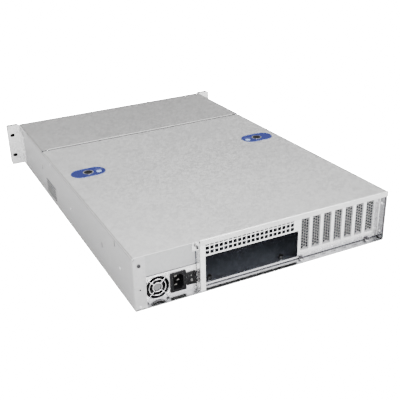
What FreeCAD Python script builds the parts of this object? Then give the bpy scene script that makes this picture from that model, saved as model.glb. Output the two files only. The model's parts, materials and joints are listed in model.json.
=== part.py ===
import FreeCAD, Part
import math
import os
from FreeCAD import Rotation, Vector

# An empty 2U, 19-inch rackmount server case: folded zinc-coated steel with a recessed rear panel,
# seven low-profile slot covers, a small power supply and a lid on two push latches.
# Millimetres. +Z up, rear at +Y, power-supply side at +X. Origin: centre of the bounding box's base.

# ---- Driving dimensions -------------------------------------------------------------------------
WIDTH = 430.0            # over the side walls
DEPTH = 650.0            # plane of the ears to the outside of the lid's rear lip
HEIGHT = 87.0            # floor to the top of the fixed front cover
SHEET = 1.2              # chassis sheet
COVER_SHEET = 1.0        # lid, panel and cover sheet
BEND = 1.0               # inside radius of every fold
SLIP = 0.3               # gap between pieces that move past each other
TINY = 0.01              # lets a cut run past a face
SAME = 1e-6              # points nearer than this are one point

# Rack ears, on the standard 19-inch hole pattern
EAR_REACH = 26.3         # 482.6 over both ears
EAR_SHEET = 2.0
EAR_HOLE_FROM_EDGE = 8.75
EAR_HOLE_SPACING_Z = 44.45
EAR_SLOT_LENGTH = 10.2
EAR_SLOT_HEIGHT = 6.8
EAR_FLANGE_LENGTH = 28.0
EAR_CORNER = 3.0
EAR_FLANGE_CORNER = 8.0
EAR_CAP_DEPTH = 12.0     # moulded caps in front of the ears
EAR_CAP_INSET = 0.8
EAR_CAP_SCREW_FROM_SIDE = 7.5
EAR_CAP_SCREWS_Z = (14.0, 71.0)
EAR_FLANGE_LOW = 4.0
EAR_FLANGE_HIGH = 71.0

# Covers
SEAM_FROM_FRONT = 186.0
SEAM_GAP = 2.6
LID_DROP = 0.8           # the lid lies this much lower than the front cover
COVER_LIP = 3.3
SEAM_FLANGE = 12.0
LID_REAR_LIP = 8.7
LID_LIP_OVERHANG = 0.5   # gap between the lid's rear lip and the chassis edge
WALL_FLANGE = 12.0

# Latches in the lid
LATCH_X = 170.5
LATCH_FROM_FRONT = 334.0
LATCH_LENGTH = 62.5
LATCH_WIDTH = 38.0
LATCH_RIM = 1.4
LATCH_FIT = 0.15         # gap round the housing in the lid
LATCH_PROUD = 0.8
LATCH_DISH = 0.6         # depth of the face below the rim
LATCH_BEVEL = 0.56
LATCH_DEPTH = 12.0
LATCH_BUTTON_RADIUS = 7.6
LATCH_BUTTON_PROUD = 1.0
LATCH_BUTTON_DISH = 0.6
LATCH_BUTTON_TRAVEL = 3.0
LATCH_COLLAR_WIDTH = 1.8
LATCH_COLLAR_SEAT = 1.0
LATCH_COLLAR_PROUD = 0.4
THUMB_DIMPLE_RADIUS = 9.0
THUMB_DIMPLE_DEPTH = 1.6
THUMB_DIMPLE_OFFSET = 19.5

# Rear panel
PANEL_RECESS = 13.0
LEDGE_GAP = 0.8          # ledge's edge to the post
LEDGE_TOP = 78.2
PANEL_FOOT = 8.0
WINDOW_LENGTH = 158.75   # standard board connector window
WINDOW_HEIGHT = 44.45
WINDOW_SIDE_X = 99.3
WINDOW_BASE_Z = 5.5
VENT_COLUMNS = 20
VENT_ROWS = 3
VENT_HOLE_LENGTH = 6.0
VENT_HOLE_HEIGHT = 5.6
VENT_PITCH_X = 7.56
VENT_PITCH_Z = 7.1
VENT_FIRST_X = 95.5
VENT_MIDDLE_Z = 62.4

# Slots and their covers
SLOT_COUNT = 7
SLOT_PITCH = 20.32
SLOT_FIRST_X = -71.8
SLOT_OPENING_WIDTH = 15.2
SLOT_OPENING_BASE = 14.0
SLOT_OPENING_TOP = 73.0
SLOT_SLIT_FROM_MIDDLE = 3.0
SLOT_TONGUE_SLIT = 7.0
SLOT_TONGUE_SLIT_HEIGHT = 1.6
SLOT_TONGUE_Z = 5.7
SLOT_BUTTON_FROM_MIDDLE = -11.9   # pressed buttons between the slits
SLOT_BUTTON_RADIUS = 1.3
SLOT_BUTTON_PROUD = 0.6
SLOT_SCREW_HOLE = 1.4
FLOOR_TABS_X = (-65.0, -190.2)    # lanced up from the floor behind the panel
FLOOR_TAB_WIDTH = 6.0
FLOOR_TAB_TOP = 7.0
SLOT_COVER_SHEET = 0.8
COVER_WIDTH = 18.4
COVER_TONGUE_WIDTH = 10.2
COVER_TAPER_Z = 9.5
COVER_BASE_Z = 3.2
COVER_HOLE_FLATS = 4.0
COVER_HOLE_PITCH = 4.85
COVER_HOLE_ROWS = 11
COVER_HOLES_BASE_Z = 19.6

# Power supply bay, with a small supply of the 81.5 x 40.5 mm kind
PSU_WIDTH = 81.5
PSU_HEIGHT = 40.5
PSU_LENGTH = 150.0
PSU_SHEET = 0.8
PSU_RECESS = 13.5
PSU_SIDE_GAP = 0.6
REAR_FLANGE = 18.0       # rear flange on the power supply side's wall
POST_FACE = 8.0
DIVIDER_LENGTH = 172.0
DIVIDER_HEIGHT = 81.0
DIVIDER_FOOT = 11.0
DIVIDER_TAB_WIDTH = 6.0
DIVIDER_TAB_BASE = 64.0
CLOSURE_GAP = 0.4        # under the lid, above the plate and the flange
BLANK_FLANGE = 9.0
BLANK_GAP = 1.4
INLET_WIDTH = 25.2
INLET_HEIGHT = 31.6
INLET_FROM_SIDE = 52.5   # from the supply's fan side to the inlet's middle
INLET_PLATE = 1.6
INLET_DEPTH = 18.0
INLET_BODY_INSET = 2.3
INLET_HOLE_INSET = 2.0
INLET_WELL = (16.4, 24.4)
INLET_WELL_CUT = 4.2     # the two cut corners
INLET_WELL_DEPTH = 15.0
PIN_SIZE = (4.0, 2.0)
PIN_PLACES = ((2.0, 7.0), (2.0, -7.0), (-2.0, 0.0))
PIN_RECESS = 4.0
SWITCH_WIDTH = 15.2
SWITCH_HEIGHT = 20.6
SWITCH_FROM_SIDE = 73.2
SWITCH_PLATE = 1.8
SWITCH_DEPTH = 13.0
SWITCH_BODY_INSET = 1.4
SWITCH_HOLE_INSET = 1.2
SWITCH_WELL_INSET = 2.3
SWITCH_WELL_DEPTH = 11.0
SWITCH_TILT = 9.0        # rocker angle either side of level
ROCKER_INSET = 3.0
ROCKER_END_GAP = 1.1
PIVOT_DEPTH = 3.0
PIVOT_RADIUS = 1.0
PIVOT_FIT = 0.08
PIVOT_STUB = 1.2
PSU_SLOT_COUNT = 6       # air slots in the supply's inner end
PSU_SLOT_FIRST = 14.0
PSU_SLOT_PITCH = 11.0
PSU_SLOT_SIZE = (4.0, 26.0)

# Fans
SMALL_FAN_FIT = 0.25     # gap between the small fan and the supply's sheet
SMALL_FAN_DEPTH = 20.0
SMALL_FAN_HOLE_FROM_EDGE = 3.2
CASE_FAN = 80.0
CASE_FAN_DEPTH = 25.4
CASE_FAN_PITCH = 71.5
CASE_FAN_COUNT = 3
CASE_FAN_SPACING = 118.0
CASE_FAN_LIFT = 0.3      # gap between the fans and the floor
FAN_WALL = 1.6           # duct wall at its thinnest
FAN_HUB_SHARE = 0.22     # hub radius as a share of the frame's width
FAN_TIP_GAP = 1.0
FAN_SHAFT = 1.5
FAN_SHAFT_FIT = 0.08
FAN_CORNER_SHARE = 0.06  # corner radius as a share of the frame's width
FAN_SEAT_DEPTH = 3.0
FAN_SEAT_FLOOR = 0.6
FAN_STRUT_WIDTH = 2.8
FAN_STRUT_DEPTH = 2.4
FAN_STRUT_ANGLES = (90, 210, 330)
FAN_HUB_GAP = 0.8        # from the motor seat to the hub
FAN_END_GAP = 1.2
SMALL_FAN_HOLE = 1.6
CASE_FAN_HOLE = 2.2
FAN_BLADES = 7
BLADE_STATIONS = ((0.0, 50, 0), (0.5, 38, 7), (1.0, 28, 16))   # share of the span, pitch, sweep
BLADE_ROOT_SHARE = 0.85
BLADE_CHORD_SHARE = 0.88
BLADE_SKIN_SHARE = 0.016
GUARD_WIRE = 0.65        # radius of the rings' wire
GUARD_SPOKE = 0.55       # radius of the spokes' wire
GUARD_RING_INSET = 0.6   # outer ring inside the fan's edge
GUARD_RING_COUNT = 3
GUARD_RING_PITCH = 5.8
GUARD_LOOP = 2.4         # loop radius round each screw
GUARD_SCREW_HEAD = 2.8
GUARD_SCREW_HEAD_HEIGHT = 1.4
GUARD_SCREW_RADIUS = 1.25
GUARD_SCREW_LENGTH = 6.0
PSU_FAN_OPENING_INSET = 1.0    # from the fan's side to the edge of the opening behind it
CASE_FAN_OPENING_INSET = 2.2

# Inside
FAN_WALL_FROM_SEAM = 42.0
FAN_WALL_TOP = 82.0
FAN_WALL_FLANGE = 12.0
SHELF_WIDTH = 300.0
SHELF_LENGTH = 130.0
SHELF_TOP = 44.0
SHELF_FROM_FRONT = 30.0
SHELF_SLOT = (90.0, 8.0)
SHELF_SLOTS_FROM_FRONT = (40.0, 101.6, 142.0)
STANDOFF_RADIUS = 2.9
STANDOFF_BORE = 1.25
STANDOFF_HEIGHT = 6.35
STANDOFF_FLOOR = 0.5     # left under the bore
STANDOFF_COLUMNS_X = (-195.45, -37.97, 86.49)
STANDOFF_ROWS = (10.16, 165.1, 237.49)   # from the board's rear edge
BOARD_EDGE_GAP = 1.5

# Front
FRONT_INSET = 2.0        # front panel behind the plane of the ears
FRONT_FLANGE = 14.0
INTAKE_ROWS = 5
INTAKE_COLUMNS = 4
INTAKE_SLOT_LENGTH = 74.0
INTAKE_SLOT_HEIGHT = 5.0
INTAKE_PITCH_X = 86.0
INTAKE_PITCH_Z = 12.5
CONTROL_X = 196.0
POWER_BUTTON_RADIUS = 6.0
RESET_BUTTON_RADIUS = 2.5
POWER_BUTTON_Z = 60.0
RESET_BUTTON_Z = 42.0
BUTTON_PROUD = 1.6
BUTTON_STEM = 4.0        # behind the panel's outer face
BUTTON_ROUNDING = 0.5
BUTTON_COLLAR = 2.0
BUTTON_COLLAR_DEPTH = 1.5
LENS_RADIUS = 1.5
LENS_LENGTH = 4.0
LENS_PROUD = 0.4
LENS_Z = (18.0, 25.0, 32.0)

# Side wall cut-outs
SIDE_VENT_FROM_FRONT = 199.0
SIDE_VENT_LENGTH = 64.0
SIDE_VENT_BASE_Z = 12.0
SIDE_VENT_ROWS = 5
SIDE_VENT_PITCH = 5.8
SIDE_VENT_HEIGHT = 3.4
RAIL_SLOT_HEIGHT = 9.0
RAIL_SLOT_WIDTH = 3.4
# Distance from the front and height
RAIL_SLOTS = ((23.0, 76.0), (177.0, 50.0), (179.0, 16.0), (520.0, 44.0), (580.0, 75.0))
SIDE_RIVETS = ((242.0, 78.0), (356.0, 36.0), (597.0, 44.0))

# Fasteners
SCREW_HOLE = 1.6
SCREW_HEAD = 2.8
SCREW_HEAD_HEIGHT = 1.4
CAP_SCREW_HEAD = 1.9
CAP_SCREW_RADIUS = 1.0
CAP_SCREW_LENGTH = 8.0
SMALL_HOLE = 1.3
EAR_SCREW_HEAD = 3.2
EAR_SCREW_PROUD = 0.6
EAR_SCREWS_Z = (18.0, 62.0)
SLOT_SCREW_RADIUS = 1.35
SLOT_SCREW_HEAD = 3.2
SLOT_SCREW_PROUD = 1.8
SLOT_SCREW_LENGTH = 3.5
RIVET_RADIUS = 2.0
RIVET_PROUD = 0.7
SIDE_RIVET_RADIUS = 2.2
SIDE_RIVET_PROUD = 0.5
CASE_SCREW_LENGTH = 5.0
PANEL_RIVETS_Z = (13.0, 62.0)
FLANGE_RIVET_FROM_SIDE = 8.0
FLANGE_RIVET_Z = 6.0
FLANGE_SCREW_Z = 71.0
FLANGE_HOLE_Z = 33.0
POST_SCREW_Z = 71.0
POST_SCREW_FROM_REAR = 8.5
POST_HOLES_FROM_REAR = 7.0
POST_HOLES_Z = (24.0, 34.0)

# ---- Places that follow from them ---------------------------------------------------------------
HALF = WIDTH / 2
WALL_IN = HALF - SHEET
EAR_EDGE = HALF + EAR_REACH
LIP_OUTER = (DEPTH + EAR_CAP_DEPTH) / 2
FRONT = LIP_OUTER - DEPTH                              # plane of the ears
REAR = LIP_OUTER - COVER_SHEET - LID_LIP_OVERHANG      # rear edge of the chassis sheet
SEAM = FRONT + SEAM_FROM_FRONT
PANEL_FACE = FRONT + FRONT_INSET                       # outer face of the front panel
LATCH_Y = FRONT + LATCH_FROM_FRONT
LID_TOP = HEIGHT - LID_DROP
LATCH_FACE = LID_TOP + LATCH_PROUD - LATCH_DISH
LID_UNDER = LID_TOP - COVER_SHEET
CLOSURE_TOP = LID_UNDER - CLOSURE_GAP
WALL_TOP = LID_TOP - COVER_LIP - SLIP
FOLD = BEND + COVER_SHEET
PANEL_Y = REAR - PANEL_RECESS                          # outer face of the rear panel
LEDGE_LENGTH = PANEL_RECESS - SHEET - LEDGE_GAP
DIVIDER_X = PSU_SIDE = HALF - REAR_FLANGE - BLANK_GAP - PSU_WIDTH - PSU_SIDE_GAP
PANEL_LEFT = DIVIDER_X - SHEET
PSU_Y = REAR - PSU_RECESS
PSU_X = (DIVIDER_X + PSU_SIDE_GAP, DIVIDER_X + PSU_SIDE_GAP + PSU_WIDTH)
PSU_MIDDLE_Z = SHEET + PSU_HEIGHT / 2
FAN_WALL_Y = SEAM + FAN_WALL_FROM_SEAM
SWITCH_X = PSU_X[1] - SWITCH_FROM_SIDE
SMALL_FAN = PSU_HEIGHT - 2 * (PSU_SHEET + SMALL_FAN_FIT)
SMALL_FAN_PITCH = SMALL_FAN - 2 * SMALL_FAN_HOLE_FROM_EDGE
FLANGE_SCREW_X = HALF - REAR_FLANGE / 2
SLOT_SCREW_Y = PANEL_Y + LEDGE_LENGTH / 2 + 1
PIVOT_Y = PSU_Y - PIVOT_DEPTH


# ---- Shape helpers ------------------------------------------------------------------------------
def box(x, y, z):
    """A block between two values on each axis."""
    lows = [min(pair) for pair in (x, y, z)]
    sizes = [abs(pair[1] - pair[0]) for pair in (x, y, z)]
    return Part.makeBox(*sizes, Vector(*lows))


def rod(centre, axis, radius, length):
    """A cylinder that starts at centre and runs along axis."""
    return Part.makeCylinder(radius, length, Vector(*centre), Vector(*axis))


def joined(shapes):
    """Touching solids made into one, without leftover seams."""
    whole = shapes[0]
    if len(shapes) > 1:
        whole = whole.fuse(shapes[1:])
    return whole.removeSplitter()


def group(shapes):
    """Separate solids kept in one node."""
    return Part.makeCompound([solid for shape in shapes for solid in shape.Solids])


def mirrored(shape):
    """The same piece on the other side of the case."""
    return shape.mirror(Vector(0, 0, 0), Vector(1, 0, 0))


def on_plane(axis, u, v, w):
    """A point of a section drawn in the plane across axis, at w along it."""
    if axis == "x":
        return Vector(w, u, v)
    if axis == "y":
        return Vector(u, w, v)
    return Vector(u, v, w)


def heading(start, end):
    length = math.hypot(end[0] - start[0], end[1] - start[1])
    return (end[0] - start[0]) / length, (end[1] - start[1]) / length


def rounded_run(points, radii, axis, w):
    """Edges along points, with an arc of the given radius at each inner point."""
    edges = []
    start = points[0]
    for i in range(1, len(points) - 1):
        corner = points[i]
        before = heading(points[i - 1], corner)
        after = heading(corner, points[i + 1])
        cross = before[0] * after[1] - before[1] * after[0]
        turn = abs(math.atan2(cross, before[0] * after[0] + before[1] * after[1]))
        if radii[i - 1] < TINY:
            edges.append(Part.makeLine(on_plane(axis, *start, w), on_plane(axis, *corner, w)))
            start = corner
            continue
        setback = radii[i - 1] * math.tan(turn / 2)
        first = (corner[0] - before[0] * setback, corner[1] - before[1] * setback)
        last = (corner[0] + after[0] * setback, corner[1] + after[1] * setback)
        inward = heading((0, 0), (after[0] - before[0], after[1] - before[1]))
        reach = radii[i - 1] / math.cos(turn / 2) - radii[i - 1]
        middle = (corner[0] + inward[0] * reach, corner[1] + inward[1] * reach)
        if math.dist(start, first) > SAME:
            edges.append(Part.makeLine(on_plane(axis, *start, w), on_plane(axis, *first, w)))
        arc = [on_plane(axis, *point, w) for point in (first, middle, last)]
        edges.append(Part.Arc(*arc).toShape())
        start = last
    if math.dist(start, points[-1]) > SAME:
        edges.append(Part.makeLine(on_plane(axis, *start, w), on_plane(axis, *points[-1], w)))
    return edges


def swept(edges, axis, length):
    """The solid that a closed outline makes when it moves along axis."""
    face = Part.Face(Part.Wire(Part.__sortEdges__(edges)))
    return face.extrude(on_plane(axis, 0, 0, length))


def outline(points, radius, axis, low, high):
    """A closed outline with equal corner radii, extruded along axis from low to high."""
    start = tuple((a + b) / 2 for a, b in zip(points[-1], points[0]))
    run = [start, *points, start]
    return swept(rounded_run(run, [radius] * len(points), axis, low), axis, high - low)


def slab(centre, size, radius, axis, low, high):
    """A rounded rectangle across axis."""
    half_u, half_v = size[0] / 2, size[1] / 2
    signs = ((-1, -1), (1, -1), (1, 1), (-1, 1))
    corners = [(centre[0] + a * half_u, centre[1] + b * half_v) for a, b in signs]
    return outline(corners, min(radius, half_u - TINY, half_v - TINY), axis, low, high)


def hexagon(centre, across_flats, axis, low, high):
    """A six-sided prism with two flats upright."""
    reach = across_flats / math.sqrt(3)
    angles = [math.radians(30 + 60 * i) for i in range(6)]
    corners = [(centre[0] + reach * math.cos(a), centre[1] + reach * math.sin(a)) for a in angles]
    return outline(corners, 0, axis, low, high)


def folded(points, thickness, axis, low, high):
    """A folded strip. points run along its outside face, with the sheet to their left."""
    inner = []
    for i, point in enumerate(points):
        if i == 0:
            sides = [heading(points[0], points[1])]
        elif i == len(points) - 1:
            sides = [heading(points[-2], points[-1])]
        else:
            sides = [heading(points[i - 1], point), heading(point, points[i + 1])]
        normals = [(-dy, dx) for dx, dy in sides]
        u, v = sum(n[0] for n in normals), sum(n[1] for n in normals)
        scale = thickness / (u * normals[0][0] + v * normals[0][1])
        inner.append((point[0] + u * scale, point[1] + v * scale))
    radii_outer, radii_inner = [], []
    for i in range(1, len(points) - 1):
        before, after = heading(points[i - 1], points[i]), heading(points[i], points[i + 1])
        left_turn = before[0] * after[1] - before[1] * after[0] > 0
        radii_outer.append(BEND + thickness if left_turn else BEND)
        radii_inner.append(BEND if left_turn else BEND + thickness)
    edges = rounded_run(points, radii_outer, axis, low)
    edges += rounded_run(inner, radii_inner, axis, low)
    for a, b in ((points[0], inner[0]), (points[-1], inner[-1])):
        edges.append(Part.makeLine(on_plane(axis, *a, low), on_plane(axis, *b, low)))
    return swept(edges, axis, high - low)


def tray(x, y, thickness, left=0, right=0, near=0, far=0, far_span=None, near_span=None,
         right_end=None):
    """A sheet with edges folded down. Its outer face is at z = 0 and faces +Z.

    left and right are flange lengths at the low and high x; near and far at the low and high y.
    The corners between two flanges are notched. right_end is where the right flange stops.
    """
    fold = BEND + thickness
    flat_x = (x[0] + (fold if left else 0), x[1] - (fold if right else 0))
    flat_y = (y[0] + (fold if near else 0), y[1] - (fold if far else 0))
    pieces = [box(flat_x, flat_y, (-thickness, 0))]
    if right:
        line = [(x[1], -right), (x[1], 0), (x[1] - fold - TINY, 0)]
        pieces.append(folded(line, thickness, "y", flat_y[0], right_end or flat_y[1]))
    if left:
        line = [(x[0] + fold + TINY, 0), (x[0], 0), (x[0], -left)]
        pieces.append(folded(line, thickness, "y", *flat_y))
    if far:
        line = [(y[1], -far), (y[1], 0), (y[1] - fold - TINY, 0)]
        pieces.append(folded(line, thickness, "x", *(far_span or x)))
        if far_span:
            rest = [(flat_x[0], far_span[0]), (far_span[1], flat_x[1])]
            pieces += [box(span, (flat_y[1], y[1]), (-thickness, 0)) for span in rest
                       if span[1] - span[0] > TINY]
    if near:
        line = [(y[0] + fold + TINY, 0), (y[0], 0), (y[0], -near)]
        pieces.append(folded(line, thickness, "x", *(near_span or x)))
    return joined(pieces)


def facing(shape, direction, place):
    """Turns a shape that faces +Z to face direction ("+y" or "-y"), and moves it to place."""
    turn = {"+y": -90, "-y": 90, "+z": 0}[direction]
    turned = shape.copy()
    turned.Placement = FreeCAD.Placement(Vector(*place), Rotation(Vector(1, 0, 0), turn))
    return turned


# ---- Chassis ------------------------------------------------------------------------------------
def chassis_pan():
    """Floor and side walls from one sheet, with a rear flange on the power supply side."""
    section = [(-HALF + WALL_FLANGE, WALL_TOP), (-HALF, WALL_TOP), (-HALF, 0), (HALF, 0),
               (HALF, WALL_TOP), (HALF - WALL_FLANGE, WALL_TOP)]
    channel = folded(section, SHEET, "y", FRONT, REAR)
    fold = BEND + SHEET
    low_z = SHEET + BEND + SLIP
    corner = box((HALF - fold, HALF + TINY), (REAR - fold, REAR + TINY), (low_z, HEIGHT))
    shelf_end = box((HALF - WALL_FLANGE - TINY, HALF), (REAR - fold, REAR + TINY),
                    (WALL_TOP - fold, HEIGHT))
    front_relief = [box((side * WALL_IN, side * (HALF - WALL_FLANGE - 1)),
                        (FRONT - TINY, PANEL_FACE + FRONT_FLANGE + SLIP), (WALL_TOP - fold, HEIGHT))
                    for side in (-1, 1)]
    flange_line = [(HALF, REAR - fold - TINY), (HALF, REAR), (HALF - REAR_FLANGE, REAR)]
    flange = folded(flange_line, SHEET, "z", low_z, WALL_TOP - fold)
    closure = box((HALF - REAR_FLANGE, HALF - fold - SLIP), (REAR - SHEET, REAR),
                  (WALL_TOP - fold - TINY, CLOSURE_TOP))
    tab_y = PANEL_Y + SLIP
    tabs = [box((x - FLOOR_TAB_WIDTH / 2, x + FLOOR_TAB_WIDTH / 2), (tab_y, tab_y + SHEET),
                (SHEET - TINY, FLOOR_TAB_TOP)) for x in FLOOR_TABS_X]
    pan = joined([channel.cut([corner, shelf_end, *front_relief]), flange, closure, *tabs])
    cuts = [box((x - FLOOR_TAB_WIDTH / 2, x + FLOOR_TAB_WIDTH / 2),
                (tab_y + SHEET, tab_y + FLOOR_TAB_TOP), (-1, SHEET + 1)) for x in FLOOR_TABS_X]
    for from_front, z in RAIL_SLOTS:
        for side in (-1, 1):
            wall = sorted((side * (HALF + 1), side * (WALL_IN - 1)))
            centre = (FRONT + from_front, z)
            cuts.append(slab(centre, (RAIL_SLOT_WIDTH, RAIL_SLOT_HEIGHT), 0, "x", *wall))
    for row in range(SIDE_VENT_ROWS):
        z = SIDE_VENT_BASE_Z + row * SIDE_VENT_PITCH
        middle = FRONT + SIDE_VENT_FROM_FRONT + SIDE_VENT_LENGTH / 2
        size = (SIDE_VENT_LENGTH, SIDE_VENT_HEIGHT)
        for side in (-1, 1):
            wall = sorted((side * (HALF + 1), side * (WALL_IN - 1)))
            cuts.append(slab((middle, z), size, SIDE_VENT_HEIGHT / 2, "x", *wall))
    for z, radius in ((FLANGE_SCREW_Z, SCREW_HOLE), (FLANGE_HOLE_Z, SMALL_HOLE)):
        cuts.append(rod((FLANGE_SCREW_X, REAR - 3, z), (0, 1, 0), radius, 4))
    return pan.cut(cuts)


def panel_x():
    """Where the rear panel starts and ends across the case."""
    return -WALL_IN, PANEL_LEFT


def slot_x(index):
    return SLOT_FIRST_X - index * SLOT_PITCH


def rear_panel():
    """Recessed panel: foot on the floor, ledge under the lid, flanges back along both sides."""
    low_x, high_x = panel_x()
    t = COVER_SHEET
    section = [(PANEL_Y - PANEL_FOOT, SHEET), (PANEL_Y, SHEET), (PANEL_Y, LEDGE_TOP - t),
               (PANEL_Y + LEDGE_LENGTH, LEDGE_TOP - t)]
    sheet = folded(section, t, "x", low_x + FOLD, high_x - FOLD)
    span = (SHEET + FOLD + SLIP, LEDGE_TOP - t - FOLD - SLIP)
    far_y = PANEL_Y + LEDGE_LENGTH - SLIP
    at_wall = [(low_x, far_y), (low_x, PANEL_Y - t), (low_x + FOLD + TINY, PANEL_Y - t)]
    at_post = [(high_x - FOLD - TINY, PANEL_Y - t), (high_x, PANEL_Y - t), (high_x, far_y)]
    pieces = [sheet, folded(at_wall, t, "z", *span), folded(at_post, t, "z", *span)]
    through = (PANEL_Y - 2 * t, PANEL_Y + t)
    window = box((WINDOW_SIDE_X - WINDOW_LENGTH, WINDOW_SIDE_X), through,
                 (WINDOW_BASE_Z, WINDOW_BASE_Z + WINDOW_HEIGHT))
    cuts = [window]
    for row in range(VENT_ROWS):
        for column in range(VENT_COLUMNS):
            x = VENT_FIRST_X - column * VENT_PITCH_X
            z = VENT_MIDDLE_Z + (row - (VENT_ROWS - 1) / 2) * VENT_PITCH_Z
            size = (VENT_HOLE_LENGTH, VENT_HOLE_HEIGHT)
            cuts.append(slab((x, z), size, 0, "y", *through))
    for index in range(SLOT_COUNT):
        x = slot_x(index)
        middle = (SLOT_OPENING_BASE + SLOT_OPENING_TOP) / 2
        size = (SLOT_OPENING_WIDTH, SLOT_OPENING_TOP - SLOT_OPENING_BASE)
        cuts.append(slab((x, middle), size, 0, "y", *through))
        slit = (SLOT_TONGUE_SLIT, SLOT_TONGUE_SLIT_HEIGHT)
        centre = (x + SLOT_SLIT_FROM_MIDDLE, SLOT_TONGUE_Z)
        cuts.append(slab(centre, slit, 0, "y", *through))
        cuts.append(rod((x, SLOT_SCREW_Y, LEDGE_TOP - 2), (0, 0, 1), SLOT_SCREW_HOLE, 3))
        button = (x + SLOT_BUTTON_FROM_MIDDLE, PANEL_Y - TINY, SLOT_TONGUE_Z)
        pieces.append(pan_head(button, (0, 1, 0), SLOT_BUTTON_RADIUS, SLOT_BUTTON_PROUD))
    return joined(pieces).cut(cuts + post_holes())


def slot_cover(index):
    """Low-profile cover: perforated face, tapered tongue and a tab that lies on the ledge."""
    x = slot_x(index)
    t = SLOT_COVER_SHEET
    face_y = PANEL_Y - COVER_SHEET
    line = [(face_y, COVER_BASE_Z), (face_y, LEDGE_TOP), (PANEL_Y + LEDGE_LENGTH, LEDGE_TOP)]
    strip = folded(line, t, "x", x - COVER_WIDTH / 2, x + COVER_WIDTH / 2)
    cuts = []
    for side in (-1, 1):
        edge = x + side * (COVER_WIDTH / 2 + TINY)
        tip = x + side * COVER_TONGUE_WIDTH / 2
        wedge = [(edge, COVER_BASE_Z - 1), (tip, COVER_BASE_Z - 1), (tip, COVER_TAPER_Z),
                 (edge, COVER_TAPER_Z + abs(edge - tip))]
        cuts.append(outline(wedge, 0, "y", face_y - 2 * t, face_y + t))
    column_pitch = COVER_HOLE_PITCH * math.sqrt(3) / 2
    for column in (-1, 0, 1):
        rows = COVER_HOLE_ROWS - (1 if column == 0 else 0)
        lift = COVER_HOLE_PITCH / 2 if column == 0 else 0
        for row in range(rows):
            centre = (x + column * column_pitch, COVER_HOLES_BASE_Z + lift + row * COVER_HOLE_PITCH)
            cuts.append(hexagon(centre, COVER_HOLE_FLATS, "y", face_y - 2 * t, face_y + t))
    cuts.append(rod((x, SLOT_SCREW_Y, LEDGE_TOP - 1), (0, 0, 1), SLOT_SCREW_HOLE + SLIP, 3))
    return strip.cut(cuts)


def post_holes():
    """The screw hole and two small holes through the post and the panel flange behind it."""
    holes = [(REAR - POST_HOLES_FROM_REAR, z, SMALL_HOLE) for z in POST_HOLES_Z]
    holes.append((REAR - POST_SCREW_FROM_REAR, POST_SCREW_Z, SCREW_HOLE))
    through = SHEET + COVER_SHEET + 2
    return [rod((DIVIDER_X - through + 1, y, z), (1, 0, 0), radius, through)
            for y, z, radius in holes]


def psu_divider():
    """Wall between the two rear bays, with the post at its rear edge and a foot on the floor."""
    line = [(DIVIDER_X, REAR - DIVIDER_LENGTH), (DIVIDER_X, REAR), (DIVIDER_X - POST_FACE, REAR)]
    foot_z = SHEET + BEND + SHEET
    wall = folded(line, SHEET, "z", foot_z, DIVIDER_HEIGHT)
    foot_line = [(DIVIDER_X - DIVIDER_FOOT, SHEET), (DIVIDER_X, SHEET), (DIVIDER_X, foot_z + TINY)]
    foot_end = PANEL_Y - PANEL_FOOT - SLIP
    foot = folded(foot_line, SHEET, "y", REAR - DIVIDER_LENGTH, foot_end)
    skirt = box((DIVIDER_X - SHEET, DIVIDER_X), (foot_end, REAR - SHEET - BEND),
                (SHEET, foot_z + TINY))
    tab_y = (PSU_Y, PSU_Y + SHEET)
    tab = box((DIVIDER_X - TINY, DIVIDER_X + DIVIDER_TAB_WIDTH), tab_y,
              (DIVIDER_TAB_BASE, DIVIDER_HEIGHT))
    body = joined([wall, foot, skirt, tab])
    return body.cut(post_holes())


def psu_blank_plate():
    """Plate that closes the bay above the supply, folded forwards at its ends and top."""
    x = (DIVIDER_X, WALL_IN)
    base = SHEET + PSU_HEIGHT + BLANK_GAP
    sheet = tray(x, (-CLOSURE_TOP, -base), COVER_SHEET, left=BLANK_FLANGE, right=BLANK_FLANGE,
                 near=BLANK_FLANGE, near_span=(x[0] + FOLD, HALF - WALL_FLANGE - FOLD))
    plate = facing(sheet, "+y", (0, PSU_Y, 0))
    under_flange = box((HALF - WALL_FLANGE - 1, HALF), (PSU_Y - 20, PSU_Y + 1),
                       (WALL_TOP - SHEET - BEND, HEIGHT))
    return plate.cut(under_flange)


# ---- Covers -------------------------------------------------------------------------------------
def front_cover():
    """Fixed cover over the front bay."""
    flat = tray((-HALF, HALF), (FRONT, SEAM), SHEET, left=COVER_LIP + LID_DROP,
                right=COVER_LIP + LID_DROP, far=SEAM_FLANGE,
                far_span=(-HALF + WALL_FLANGE + 1, HALF - WALL_FLANGE - 1))
    return facing(flat, "+z", (0, 0, HEIGHT))


def latch_centres():
    return [(side * LATCH_X, LATCH_Y) for side in (-1, 1)]


def top_lid():
    """Removable lid, with a rear lip over the board bay and two pill-shaped latch openings."""
    flat = tray((-HALF, HALF), (SEAM + SEAM_GAP, LIP_OUTER), COVER_SHEET, left=COVER_LIP,
                right=COVER_LIP, near=COVER_LIP, far=LID_REAR_LIP, far_span=(-HALF, DIVIDER_X),
                near_span=(-HALF + FOLD, HALF - FOLD), right_end=LIP_OUTER)
    lid = facing(flat, "+z", (0, 0, LID_TOP))
    gap = LATCH_RIM - LATCH_FIT
    size = (LATCH_LENGTH - 2 * gap, LATCH_WIDTH - 2 * gap)
    cuts = [slab(centre, size, size[1] / 2, "z", LID_UNDER - 1, LID_TOP + 1)
            for centre in latch_centres()]
    return lid.cut(cuts)


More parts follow.
